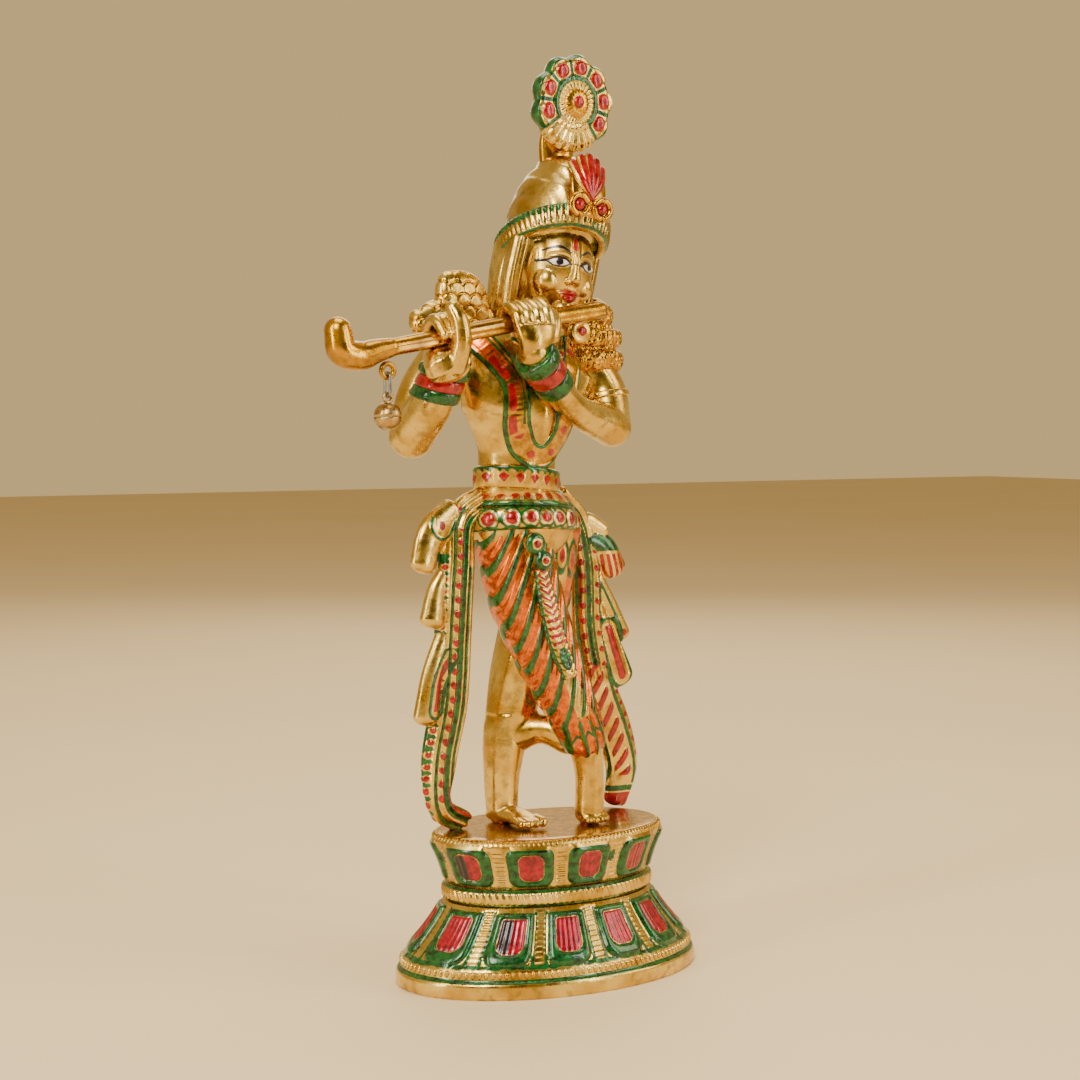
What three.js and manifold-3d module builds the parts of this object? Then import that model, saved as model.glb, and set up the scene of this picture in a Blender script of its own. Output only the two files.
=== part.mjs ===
// A flute player standing on an oval two-tier lotus pedestal, in cast, gilded and enamelled aluminium.
// Millimetres, +Z up, the figure facing -Y. The origin is the bottom centre of the whole piece's box.
// Each casting is its own closed mesh. Pieces that touch keep JOINT_GAP between them.

import * as THREE from 'three';
import { mergeVertices } from 'three/addons/utils/BufferGeometryUtils.js';
import Module from 'manifold-3d';

const wasm = await Module();
wasm.setup();

// Pedestal
const PEDESTAL_WIDTH = 108;
const PEDESTAL_DEPTH = 70;
const NECK_WIDTH = 72;
const DECK_WIDTH = 83;
const FOOT_RIM_HEIGHT = 4.6;
const LOWER_TIER_HEIGHT = 26.5;
const NECK_BAND_HEIGHT = 5.4;
const UPPER_TIER_HEIGHT = 16.5;
const PEDESTAL_WALL = 3.4;
const LOWER_PETALS = 12;
const UPPER_PETALS = 10;
const PETAL_RELIEF = 1.5;

// Figure, from the deck to the top of the crown, and the shape it was drawn at
const FIGURE_HEIGHT = 220;
const DRAWN_HEIGHT = 220;
const HEAD_TILT = THREE.MathUtils.degToRad(9);
const CLOTH_RELIEF = 1.3;
const GARLAND_WIDTH = 8.6;

// Flute, its bell and the wire link between them
const FLUTE_RADIUS = 3;
const FLUTE_LENGTH = 82;
const FLUTE_SLOPE = THREE.MathUtils.degToRad(9.6);
const FINGER_RADIUS = 1.9;
const FINGER_PITCH = 3.6;
const BANGLE_WALL = 2.2;
const LUG_RADIUS = 2.1;
const LUG_WIRE = 0.85;
const LINK_LENGTH = 7.4;
const LINK_WIDTH = 3.4;
const LINK_WIRE = 0.5;
const SHANK_RADIUS = 1.35;
const SHANK_WIRE = 0.5;
const BELL_RADIUS = 4.3;
const BELL_WALL = 0.5;
const BELL_SLOT = 1.4;
const PELLET_RADIUS = 1.2;

// Fixings
const SCREW_RADIUS = 2;
const SCREW_LENGTH = 13;
const SCREW_HEAD_RADIUS = 3.5;
const SCREW_HEAD_HEIGHT = 2.4;
const WASHER_RADIUS = 4.6;
const WASHER_THICKNESS = 0.9;
const DRIVE_SLOT = 0.9;

const JOINT_GAP = 0.3;
const LEAST_GAP = 0.3;
const FAR = 200;

const X = new THREE.Vector3(1, 0, 0);
const Y = new THREE.Vector3(0, 1, 0);
const Z = new THREE.Vector3(0, 0, 1);

const neckBase = LOWER_TIER_HEIGHT + JOINT_GAP;
const upperBase = neckBase + NECK_BAND_HEIGHT + JOINT_GAP;
const deckTop = upperBase + UPPER_TIER_HEIGHT;
const ovalRatio = PEDESTAL_DEPTH / PEDESTAL_WIDTH;
const drawnScale = FIGURE_HEIGHT / DRAWN_HEIGHT;

const finishes = {
  gilt: new THREE.MeshStandardMaterial({ color: 0xd9a95a, roughness: 0.28, metalness: 1 }),
  amber: new THREE.MeshStandardMaterial({ color: 0xc07a18, roughness: 0.22, metalness: 1 }),
  green: new THREE.MeshStandardMaterial({ color: 0x1f6b42, roughness: 0.25, metalness: 0.2 }),
  red: new THREE.MeshStandardMaterial({ color: 0xb3152a, roughness: 0.25, metalness: 0.2 }),
  orange: new THREE.MeshStandardMaterial({ color: 0xe8741c, roughness: 0.25, metalness: 0.3 }),
  brass: new THREE.MeshStandardMaterial({ color: 0xb98a44, roughness: 0.3, metalness: 1 }),
  steel: new THREE.MeshStandardMaterial({ color: 0x8f8f92, roughness: 0.35, metalness: 1 }),
};

// Nested frames: the whole piece, the figure on the deck, its head, and the flute
const statue = new THREE.Group();
const figure = new THREE.Group();
const head = new THREE.Group();
const flute = new THREE.Group();
const bell = new THREE.Group();
statue.add(figure);
figure.add(head, flute, bell);

// A point or a size in the figure's frame, at the size it was drawn.
const at = (x, y, z) => new THREE.Vector3(x, y, z).multiplyScalar(drawnScale);
const size = (value) => value * drawnScale;

figure.position.z = deckTop + JOINT_GAP;
head.position.copy(at(-2, -1, 168));
head.rotation.y = HEAD_TILT;
flute.position.copy(at(-19.5, -17.6, 163.4));
flute.rotation.y = -FLUTE_SLOPE;
statue.updateMatrixWorld(true);

// A station of a limb: its centre and its half sizes across and through.
function station(x, y, z, wide, deep = wide) {
  return { centre: at(x, y, z), wide: size(wide), deep: size(deep) };
}

// A round-ended limb through its stations, from a capsule whose vertices move onto the curve.
function limb(stations, { sides = 10, steps = 5, across = X, cap = 1, ends = 1, grow = 0 } = {}) {
  const line = new THREE.CatmullRomCurve3(stations.map((s) => s.centre));
  const girth = new THREE.CatmullRomCurve3(stations.map((s) => new THREE.Vector3(s.wide, s.deep, 0)));
  const shape = new THREE.CapsuleGeometry(1, 1, ends, sides, steps);
  const places = shape.attributes.position;
  const vertex = new THREE.Vector3();
  for (let i = 0; i < places.count; i++) {
    vertex.fromBufferAttribute(places, i);
    const along = THREE.MathUtils.clamp(vertex.y, -0.5, 0.5);
    const tangent = line.getTangent(along + 0.5);
    const side = across.clone().addScaledVector(tangent, -across.dot(tangent)).normalize();
    const through = side.clone().cross(tangent);
    const half = girth.getPoint(along + 0.5).addScalar(grow);
    const place = line.getPoint(along + 0.5)
      .addScaledVector(side, vertex.x * half.x)
      .addScaledVector(through, vertex.z * half.y)
      .addScaledVector(tangent, (vertex.y - along) * cap * Math.min(half.x, half.y));
    places.setXYZ(i, place.x, place.y, place.z);
  }
  return solid(shape);
}

// An ellipsoid with its poles up and down.
function ball(centre, halfX, halfY, halfZ, { sides = 10, rings = 6, grow = 0 } = {}) {
  const shape = new THREE.SphereGeometry(1, sides, rings).rotateX(Math.PI / 2);
  shape.scale(halfX + grow, halfY + grow, halfZ + grow);
  return solid(shape.translate(centre.x, centre.y, centre.z));
}

// A closed profile of [radius, height] turned about Z.
function turned(profile, sides = 32) {
  const points = profile.map(([radius, height]) => new THREE.Vector2(radius, height));
  return new THREE.LatheGeometry(points, sides).rotateX(Math.PI / 2);
}

// A turned shape squeezed to the pedestal's oval plan.
const oval = (profile) => solid(turned(profile, 22).scale(1, ovalRatio, 1));

// A ring of round wire about Y, stretched along Z by straight sides.
function wireLoop(radius, wire, straight, grow) {
  const shape = new THREE.TorusGeometry(radius, wire + grow, 6, 12);
  const places = shape.attributes.position;
  for (let i = 0; i < places.count; i++) {
    const y = places.getY(i);
    places.setY(i, y + (Math.sign(Math.round(y * 1e3)) * straight) / 2);
  }
  return shape.rotateX(Math.PI / 2);
}

// A box turned so that its Z lies along a direction.
function block(centre, direction, halfX, halfY, halfZ) {
  const shape = new THREE.BoxGeometry(2 * halfX, 2 * halfY, 2 * halfZ);
  shape.applyQuaternion(new THREE.Quaternion().setFromUnitVectors(Z, direction.clone().normalize()));
  return solid(shape.translate(centre.x, centre.y, centre.z));
}

// A closed mesh as a solid, with its faces turned out.
function solid(geometry) {
  const bare = geometry.clone().deleteAttribute('normal').deleteAttribute('uv');
  const merged = mergeVertices(bare, 1e-4);
  const corners = merged.index.array;
  const kept = [];
  for (let i = 0; i < corners.length; i += 3) {
    const [a, b, c] = corners.slice(i, i + 3);
    if (a !== b && b !== c && a !== c) kept.push(a, b, c);
  }
  const build = (triangles) => new wasm.Manifold(new wasm.Mesh({
    numProp: 3,
    vertProperties: merged.attributes.position.array,
    triVerts: new Uint32Array(triangles),
  }));
  const made = build(kept);
  return made.volume() < 0 ? build(kept.reverse()) : made;
}

const joined = (solids) => solids.reduce((whole, next) => whole.add(next));

// A solid's mesh as three.js geometry, moved by a matrix.
function geometryOf(made, matrix) {
  const mesh = made.getMesh();
  const geometry = new THREE.BufferGeometry()
    .setAttribute('position', new THREE.BufferAttribute(new Float32Array(mesh.vertProperties), 3))
    .setIndex(new THREE.BufferAttribute(new Uint32Array(mesh.triVerts), 1))
    .applyMatrix4(matrix);
  geometry.computeVertexNormals();
  return geometry;
}

// What wraps a body: the body's own surface, thickened, inside a region.
function wrap(body, thickness, region, grow = 0) {
  return body(JOINT_GAP + thickness + grow).intersect(region).subtract(body(JOINT_GAP - grow));
}

// Every piece in order of how whole it stays: a later piece is cut back from the earlier ones,
// except the body that a wrapped piece already stands off.
const pieces = [];
function piece(name, finish, frame, shape, standsOff = null) {
  pieces.push({ name, finish, frame, shape, standsOff });
}

// --- Flute, finial, lug, link and bell ---

// Stations in the flute's own frame, which keeps its size when the figure's changes.
const fluteStation = (x, y, z, radius) => ({ centre: new THREE.Vector3(x, y, z), wide: radius, deep: radius });

const fluteEnd = FLUTE_LENGTH * 0.38;
const finialStart = fluteEnd - FLUTE_LENGTH;
const lugPlace = new THREE.Vector3(finialStart, 0, -FLUTE_RADIUS * 1.25 - JOINT_GAP - LUG_RADIUS - LUG_WIRE);
bell.position.copy(figure.worldToLocal(flute.localToWorld(lugPlace.clone())));
statue.updateMatrixWorld(true);

// The link's wire rests in the lug's hole, and the shank's wire rests in the link.
const linkTop = -LUG_RADIUS + LUG_WIRE + LINK_WIRE + JOINT_GAP / 2;
const linkStraight = LINK_LENGTH - LINK_WIDTH;
const linkCentre = linkTop - LINK_LENGTH / 2;
const linkBottom = linkTop - LINK_LENGTH;
const shankCentre = linkBottom - SHANK_RADIUS + SHANK_WIRE + LINK_WIRE + JOINT_GAP / 2;
const bellCentre = shankCentre - SHANK_RADIUS - BELL_RADIUS;
const bellInner = BELL_RADIUS - BELL_WALL;

piece('bell_lug', 'amber', bell, (grow) => solid(wireLoop(LUG_RADIUS, LUG_WIRE, 0, grow)));

piece('bell_wire_link', 'steel', bell, (grow) => solid(
  wireLoop(LINK_WIDTH / 2, LINK_WIRE, linkStraight, grow).rotateZ(Math.PI / 2).translate(0, 0, linkCentre)));

piece('bell_shank_loop', 'brass', bell, (grow) => solid(
  wireLoop(SHANK_RADIUS, SHANK_WIRE, 0, grow).translate(0, 0, shankCentre)));

// A half of the round bell: a thin hemisphere, whose rim meets the other half's.
function bellHalf(up, grow) {
  const rim = JOINT_GAP / 2;
  const steps = 4;
  const outer = [];
  const inner = [];
  for (let i = 0; i <= steps; i++) {
    const angle = (i / steps) * (Math.PI / 2);
    const away = Math.cos(angle);
    const rise = Math.sin(angle);
    outer.push([(BELL_RADIUS + grow) * away, up * (rim + (BELL_RADIUS + grow - rim) * rise)]);
    inner.unshift([(bellInner - grow) * away, up * (rim + (bellInner - grow - rim) * rise)]);
  }
  return solid(turned([...outer, ...inner, outer[0]], 14).translate(0, 0, bellCentre));
}

piece('bell_upper_shell', 'brass', bell, (grow) => bellHalf(1, grow));

piece('bell_lower_shell', 'brass', bell, (grow) => {
  const lowest = new THREE.Vector3(0, 0, bellCentre - BELL_RADIUS);
  return bellHalf(-1, grow).subtract(block(lowest, Z, bellInner * 0.8, BELL_SLOT / 2, BELL_RADIUS * 0.75));
});

piece('bell_pellet', 'steel', bell, (grow) => ball(
  new THREE.Vector3(0, 0, bellCentre - bellInner + PELLET_RADIUS + LEAST_GAP),
  PELLET_RADIUS, PELLET_RADIUS, PELLET_RADIUS, { sides: 8, rings: 6, grow }));

piece('flute', 'amber', flute, (grow) => limb([
  fluteStation(finialStart + FLUTE_RADIUS, 0, -0.3, FLUTE_RADIUS * 0.9),
  fluteStation(0, 0, 0.5, FLUTE_RADIUS * 0.95),
  fluteStation(fluteEnd - FLUTE_RADIUS, 0, 0, FLUTE_RADIUS),
], { sides: 8, steps: 4, across: Y, grow }));

piece('flute_finial', 'amber', flute, (grow) => limb([
  fluteStation(finialStart - 4, 0, -0.6, FLUTE_RADIUS * 1.3),
  fluteStation(finialStart - 8.5, 0, -1.2, FLUTE_RADIUS * 1.5),
  fluteStation(finialStart - 14, 0, 1, FLUTE_RADIUS * 1.55),
  fluteStation(finialStart - 14.6, 0, 7.4, FLUTE_RADIUS * 1.4),
], { sides: 8, steps: 5, across: Y, ends: 2, grow }));

// --- Hands and arms ---

const rightWrist = station(-44.8, -12.6, 150, 6, 5.2);
const leftWrist = station(-19.6, -22.6, 153.6, 5.4, 4.8);

// Fingers curl over the flute's top, from in front of it or from behind it.
function finger(x, reach, way, grow) {
  const away = FLUTE_RADIUS + FINGER_RADIUS + LEAST_GAP;
  return limb([
    fluteStation(x, -way * (away + 0.8), -reach, FINGER_RADIUS * 1.1),
    fluteStation(x, -way * away * 0.9, away * 0.6, FINGER_RADIUS * 1.1),
    fluteStation(x, way * away * 0.1, away * 1.12, FINGER_RADIUS),
    fluteStation(x, way * away * 0.95, away * 0.2, FINGER_RADIUS * 0.85),
  ], { sides: 6, steps: 5, grow });
}

// A palm from the wrist to the roots of its fingers, and a thumb.
function hand(wrist, palmStations, fingers, thumb, grow) {
  const start = flute.worldToLocal(figure.localToWorld(wrist.centre.clone()));
  const palm = limb([{ centre: start, wide: wrist.wide * 0.94, deep: wrist.deep * 0.94 }, ...palmStations],
    { sides: 8, steps: 4, grow });
  return joined([palm, limb(thumb, { sides: 6, steps: 3, grow }), ...fingers]);
}

const fourFingers = (centre, pitch) => [-1.5, -0.5, 0.5, 1.5].map((n) => centre + n * pitch);
const palmAway = FLUTE_RADIUS + 3.6;
const palmStation = (x, y, z, wide, deep) => ({ ...fluteStation(x, y, z, wide), deep });

// The right hand holds the flute from behind, with its thumb in front.
piece('right_hand', 'gilt', flute, (grow) => hand(
  rightWrist, [palmStation(-30.8, -1.6, -8.4, 7.6, 5.4), palmStation(-29.6, palmAway * 0.6, -4.6, 5.6, 4)],
  fourFingers(-28.6, FINGER_PITCH * 0.66).map((x) => finger(x, 2, -1, grow)), [
    fluteStation(-29.6, -4.4, -9, 3.4),
    fluteStation(-27.6, -palmAway, -2.4, 3.2),
    fluteStation(-27.2, -palmAway, 4.4, 2.9),
    fluteStation(-28, -palmAway + 1.4, 8.6, 2.4),
  ], grow));

piece('left_hand', 'gilt', flute, (grow) => hand(
  leftWrist, [palmStation(-0.6, -palmAway, -5, 6.6, 3.6), palmStation(0, -palmAway, -1, 7.2, 2.6)],
  fourFingers(0, FINGER_PITCH).map((x) => finger(x, 1, 1, grow)), [
    fluteStation(5.4, -palmAway, -5.4, 2.2),
    fluteStation(8, -palmAway + 1.4, -1, 2),
    fluteStation(8.4, -palmAway + 3.4, 2.2, 1.6),
  ], grow));

const rightElbow = station(-49.4, 2.4, 128, 7.4);
const leftElbow = station(20.4, -7, 130.4, 6.6);
const rightForearm = [rightElbow, station(-48, -8, 138, 7, 6.6), rightWrist];
const leftForearm = [leftElbow, station(0.6, -14.6, 137, 5.2, 5), leftWrist];

const rightShoulder = station(-36, 2, 156, 7);
const leftShoulder = station(17, 2, 150, 7.6);
const rightArm = (grow) => limb(rightForearm, { across: Y, grow })
  .add(limb([rightShoulder, station(-45, 4, 142, 7.2), rightElbow], { grow }));
const leftArm = (grow) => limb(leftForearm, { across: Y, grow })
  .add(limb([leftShoulder, station(21, -1, 142, 7.6), leftElbow], { grow }));

// A ring on an arm, along a line inside it.
function armRing(side, name, finish, arm, low, high, relief) {
  const middle = low.clone().lerp(high, 0.5);
  const half = low.distanceTo(high) / 2 - JOINT_GAP * 0.6;
  const reach = size(10);
  const region = (grow) => block(middle, high.clone().sub(low), reach, reach, half + grow);
  piece(`${side}_${name}`, finish, figure, (grow) => wrap(arm, relief, region(grow), grow), `${side}_arm`);
}

// Three bangles, at shares of the way from the forearm's middle to the wrist.
const braceleted = [['right', rightArm, rightForearm], ['left', leftArm, leftForearm]];
for (const [side, arm, [, middle, wrist]] of braceleted) {
  const along = (share) => middle.centre.clone().lerp(wrist.centre, share);
  const start = side === 'right' ? 0.12 : 0.4;
  const step = (1 - start) / 3;
  armRing(side, 'plain_bangle', 'green', arm, along(start), along(start + step), BANGLE_WALL * 0.9);
  armRing(side, 'red_bangle', 'red', arm, along(start + step), along(start + 2 * step), BANGLE_WALL);
  armRing(side, 'beaded_bangle', 'green', arm, along(start + 2 * step), along(1.02), BANGLE_WALL * 1.1);
}

armRing('left', 'armlet', 'gilt', leftArm, at(21, -1.8, 139), at(20.8, -1.2, 141.6), BANGLE_WALL * 0.5);
piece('right_arm', 'gilt', figure, rightArm);
piece('left_arm', 'gilt', figure, leftArm);

// --- Head, hair and crown, in the head's own frame, whose origin is the top of the neck ---

const browHeight = size(24);
const halfSpaces = {
  under: (height) => block(new THREE.Vector3(0, 0, height - FAR), Z, FAR, FAR, FAR),
  over: (height) => block(new THREE.Vector3(0, 0, height + FAR), Z, FAR, FAR, FAR),
};

piece('feather_medallion_boss', 'amber', head, (grow) => ball(
  at(-3, -8, 67.4), size(7), size(1.8), size(7.4), { grow }));

piece('feather_medallion', 'gilt', head, (grow) => {
  const rim = [[0, -3], [12.8, -3], [14.2, -1.4], [14.2, 1.4], [12.8, 3], [0, 3]];
  const swell = ([radius, height]) => [radius ? size(radius) + grow : 0, size(height) + Math.sign(height) * grow];
  const place = at(-3, -4.4, 67.4);
  const disc = turned(rim.map(swell), 20).rotateX(Math.PI / 2).scale(1, 1, 1.08);
  return solid(disc.translate(place.x, place.y, place.z));
});

piece('feather_stem', 'gilt', head, (grow) => limb(
  [station(-1.4, 1.8, 46, 6, 3.4), station(-3, 1.6, 55, 6.4, 3), station(-3.2, 1.2, 62, 5.4, 2.4)],
  { sides: 8, steps: 2, grow }));

piece('crown_crest', 'red', head, (grow) => joined([
  limb([station(0.6, -19, 29, 3.4, 1.6), station(0.4, -16.6, 39, 5, 1.6), station(0.2, -14.2, 47.4, 3.2, 1.4)],
    { sides: 8, steps: 3, grow }),
  ball(at(-3.4, -19, 30), size(3.2), size(1.8), size(3.2), { sides: 8, rings: 4, grow }),
  ball(at(4.6, -19, 30), size(3.2), size(1.8), size(3.2), { sides: 8, rings: 4, grow }),
]));

piece('crown_band', 'green', head, (grow) => {
  const region = block(at(0, 0, 23), new THREE.Vector3(0, 0.42, 1), FAR, FAR, size(3.6) + grow);
  const brow = (swell) => limb(
    [station(0, 1.4, 10, 15.4, 17.4), station(0, 1.4, 24, 16, 18), station(0.8, 1, 37, 14.6, 17)],
    { sides: 12, steps: 3, grow: swell });
  return wrap(brow, 2, region, grow);
});

// The face is a plain egg, with a straight nose, lips and a chin.
piece('head', 'gilt', head, (grow) => joined([
  ball(at(0, -1.5, 14.5), size(12.6), size(14.2), size(17), { sides: 12, rings: 8, grow }),
  limb([station(0, -15, 17.5, 1.5, 1.4), station(0, -16.4, 9.5, 2.1, 1.6)], { sides: 6, steps: 2, grow }),
  ball(at(0, -13.6, 4.9), size(3.6), size(1.7), size(1.8), { sides: 6, rings: 4, grow }),
  ball(at(0, -11.6, 0.4), size(3.4), size(2.8), size(2.6), { sides: 6, rings: 4, grow }),
]).intersect(halfSpaces.under(browHeight + grow)));

for (const [side, sign] of [['right', -1], ['left', 1]]) {
  piece(`${side}_side_lock`, 'gilt', head, (grow) => limb([
    station(sign * 14.4, -3, 21, 3, 4.4), station(sign * 14.6, -1.4, 10, 3, 4.6),
    station(sign * 13.4, 1.6, -4, 2.6, 4.2),
  ], { sides: 8, steps: 3, grow }).intersect(halfSpaces.under(browHeight + grow)));
}

piece('crown', 'gilt', head, (grow) => limb([
  station(0, 1.6, 22, 15.8, 17.8), station(0.5, 1.4, 32, 15, 16.8),
  station(1.2, 0.3, 41, 12.8, 14.2), station(1.3, -0.5, 45.4, 10.2, 11.4),
], { sides: 12, steps: 3, cap: 0.6, ends: 2, grow }).intersect(halfSpaces.over(browHeight + JOINT_GAP - grow)));

piece('hair_knot', 'gilt', head, (grow) => limb([
  station(0, 4.4, 26, 16.4, 14.6), station(-0.4, 5, 12, 17.4, 14),
  station(-1, 7.4, 0, 15.4, 9.6), station(0, 9.4, -10, 11, 5.4),
], { sides: 10, steps: 3, grow }).intersect(halfSpaces.under(browHeight + grow)));

// --- Shawl ends, brooch, necklaces and torso ---

piece('shoulder_brooch', 'red', figure, (grow) => ball(
  at(4, -12.6, 161.4), size(4.2), size(1.9), size(4.2), { sides: 8, rings: 4, grow }));

// A shawl end standing off the shoulder as a fan of overlapping lobes.
const shawl = (lobes, grow) => joined(lobes.map((stations) => limb(stations, { sides: 8, steps: 2, grow })));

piece('right_shawl_end', 'gilt', figure, (grow) => shawl([
  [station(-22, 4.4, 165, 5, 3), station(-30, 4.6, 172.5, 8.4, 3.8), station(-36, 4.6, 172.6, 7.6, 3.4)],
  [station(-24, 4.4, 161, 5, 3), station(-36, 4.6, 165.4, 6.4, 3.8), station(-46, 4, 163.4, 4.6, 3)],
], grow));

piece('left_shawl_end', 'gilt', figure, (grow) => shawl([
  [station(8, 0.6, 164, 5, 4), station(15.6, 0.6, 167.2, 6, 5), station(21, 1, 166.6, 5, 4)],
  [station(10, -1.6, 159, 5, 4), station(17.6, -1.8, 160, 6, 5), station(23, -1, 159.2, 4.8, 4)],
  [station(12, -2, 153.8, 5, 4), station(18.8, -2.4, 153, 6, 5), station(23.4, -1.4, 152, 4.6, 4)],
], grow));

const torsoBody = (grow) => limb([
  station(-11.5, 1, 110, 13.4, 10.4),
  station(-11.5, 0.6, 122, 13.4, 10.4),
  station(-10.4, -0.2, 136, 21.6, 13.2),
  station(-8, 0.8, 151, 25.4, 11.8),
  station(-5, 1.4, 160, 14, 8.6),
], { sides: 12, steps: 5, grow });

piece('collar_necklace', 'red', figure, (grow) => wrap(torsoBody, CLOTH_RELIEF,
  block(at(-4, 0, 156), new THREE.Vector3(0.12, 0.42, 1), size(14), FAR, size(2.4) + grow), grow), 'torso');

// The long garland hangs from both shoulders in a U, so its region is a U drawn on the front and pushed back.
piece('long_garland', 'orange', figure, (grow) => {
  const half = size(GARLAND_WIDTH) / 2 + grow;
  const course = new THREE.CatmullRomCurve3([
    at(-29, 0, 160), at(-20, 0, 144), at(-18.4, 0, 129), at(-11, 0, 120.4), at(-3, 0, 127), at(0, 0, 142), at(7, 0, 160)]);
  const steps = 12;
  const side = (sign) => Array.from({ length: steps + 1 }, (_, i) => {
    const across = course.getTangent(i / steps).cross(Y).multiplyScalar(sign * half);
    return course.getPoint(i / steps).add(across);
  });
  const outline = [...side(-1), ...side(1).reverse()].map((point) => new THREE.Vector2(point.x, point.z));
  const region = new THREE.ExtrudeGeometry(new THREE.Shape(outline), { depth: FAR, bevelEnabled: false });
  return wrap(torsoBody, CLOTH_RELIEF, solid(region.rotateX(Math.PI / 2)), grow);
}, 'torso');

const waistHeight = size(109);

piece('neck', 'gilt', figure, (grow) => limb(
  [station(-4, 0.6, 160, 8, 7.2), station(-2, -0.6, 172, 7, 7)], { sides: 8, steps: 1, grow }));

piece('torso', 'gilt', figure, (grow) => torsoBody(grow).intersect(halfSpaces.over(waistHeight + JOINT_GAP - grow)));

// --- Waist, girdle and cloth ---

const crotchHeight = size(94.6);
const hipBody = (grow) => ball(at(-9.4, 1, 99), size(18), size(13), size(14), { sides: 12, rings: 8, grow });

piece('waist_sash', 'red', figure, (grow) => wrap(torsoBody, CLOTH_RELIEF,
  block(at(-12, 0, 114), new THREE.Vector3(0.06, 0.12, 1), FAR, FAR, size(2.3) + grow), grow), 'torso');

piece('upper_girdle', 'green', figure, (grow) => wrap(hipBody, CLOTH_RELIEF,
  block(at(-10, 0, 105.6), new THREE.Vector3(0.04, 0.12, 1), FAR, FAR, size(1.6) + grow), grow), 'hips');

piece('lower_girdle', 'gilt', figure, (grow) => wrap(hipBody, CLOTH_RELIEF * 1.3,
  block(at(-9, 0, 99.6), new THREE.Vector3(0.03, 0.16, 1), FAR, FAR, size(3) + grow), grow), 'hips');

piece('girdle_knot', 'green', figure, (grow) => joined([
  ball(at(-14.4, -13.6, 93.4), size(3.6), size(2.6), size(3.6), { sides: 8, rings: 5, grow }),
  ball(at(-11.6, -14, 88), size(3), size(2.2), size(3.2), { sides: 8, rings: 5, grow }),
]));

// The sash that hangs from the knot down the front of the crossed leg.
piece('front_sash', 'red', figure, (grow) => limb([
  station(-11.6, -14.6, 84, 2.4, 1.4), station(-9.6, -15.4, 74, 3.2, 1.6), station(-6.6, -16, 62, 3.4, 1.7),
  station(-2.4, -16.8, 51, 2.8, 1.5),
], { sides: 8, steps: 4, grow }));

// The crossed leg's cloth in front, and the standing leg's behind it.
piece('front_leg_cloth', 'orange', figure, (grow) => limb([
  station(-13.8, 1.4, 99, 12.4, 11.8), station(-10, -1.8, 76, 12, 11.4), station(-3.8, -5, 57, 10.4, 10),
  station(3.2, -8, 40, 8.6, 8.4), station(8, -9.4, 28.5, 7, 6.8),
], { steps: 5, grow }).intersect(halfSpaces.under(crotchHeight + grow)));

// Long ends of the sash, hanging from the hips to the deck, each a ribbon with drooping folds on its outer edge.
function streamer(ribbon, folds, grow) {
  const fold = (stations) => limb(stations, { sides: 6, steps: 2, ends: 2, grow });
  return joined([limb(ribbon, { sides: 8, steps: 7, grow }), ...folds.map(fold)]);
}

// A point just above the deck, at shares of its half width and half depth.
function onDeck(shareX, shareY, wide, deep) {
  const halfWidth = DECK_WIDTH / 2;
  const centre = new THREE.Vector3(halfWidth * shareX, halfWidth * ovalRatio * shareY, size(deep));
  return { centre, wide: size(wide), deep: size(deep) };
}

piece('right_streamer', 'gilt', figure, (grow) => streamer([
  station(-24, 1, 107, 5, 2.6), station(-33, 0, 101, 5.6, 2.8), station(-35, -0.6, 86, 6.2, 2.8),
  station(-36, 0, 64, 6.4, 2.6), station(-37, 1, 42, 6.6, 2.6), station(-40, 2.4, 22, 6, 2.6),
  station(-39, 3, 8, 4.6, 2.6), onDeck(-0.72, 0.2, 4.4, 2.2),
], [
  [station(-36, 0, 104, 4.4, 2.4), station(-44, -1, 97, 5.2, 2.8), station(-47.6, -1.4, 87, 4.6, 2.8)],
  [station(-38, 0, 86, 2.4, 2), station(-42, -0.4, 79, 3.2, 2.4), station(-43.6, -0.6, 69.4, 4.6, 3)],
  [station(-39, 0, 66, 2.6, 2), station(-43.6, 0, 52, 3.6, 2.4), station(-45.6, 0.4, 38, 4.6, 2.8)],
], grow));

piece('left_streamer', 'gilt', figure, (grow) => streamer([
  station(8, 6, 107, 4.4, 2.8), station(15, 7, 100, 5, 2.8), station(19.4, 7.4, 86, 5.4, 2.6),
  station(21, 8, 62, 5.8, 2.6), station(26.4, 9.4, 42, 6.6, 2.6), station(33.6, 11, 26, 7, 2.8),
  station(37.4, 11.8, 13, 6, 2.8), onDeck(0.84, 0.46, 4.4, 2.4),
], [
  [station(15, 7, 99, 3, 2.2), station(20, 7, 98.6, 3.2, 2.4), station(25.6, 7, 95.6, 3, 2.4)],
  [station(19, 7, 93, 3, 2.2), station(26, 7, 90, 4.6, 2.8), station(31, 7.2, 82.4, 4.6, 2.8)],
  [station(23, 8, 82, 2.4, 2), station(29.6, 8.4, 71, 2.6, 2), station(35, 8.8, 60, 3.2, 2.4)],
  [station(24.4, 8.4, 70, 2.6, 2), station(30.6, 8.8, 54, 4.4, 2.6), station(34.6, 9.4, 45, 5.2, 2.8)],
], grow));

piece('hips', 'gilt', figure, (grow) => hipBody(grow)
  .intersect(halfSpaces.under(waistHeight + grow)).intersect(halfSpaces.over(crotchHeight + JOINT_GAP - grow)));

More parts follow.
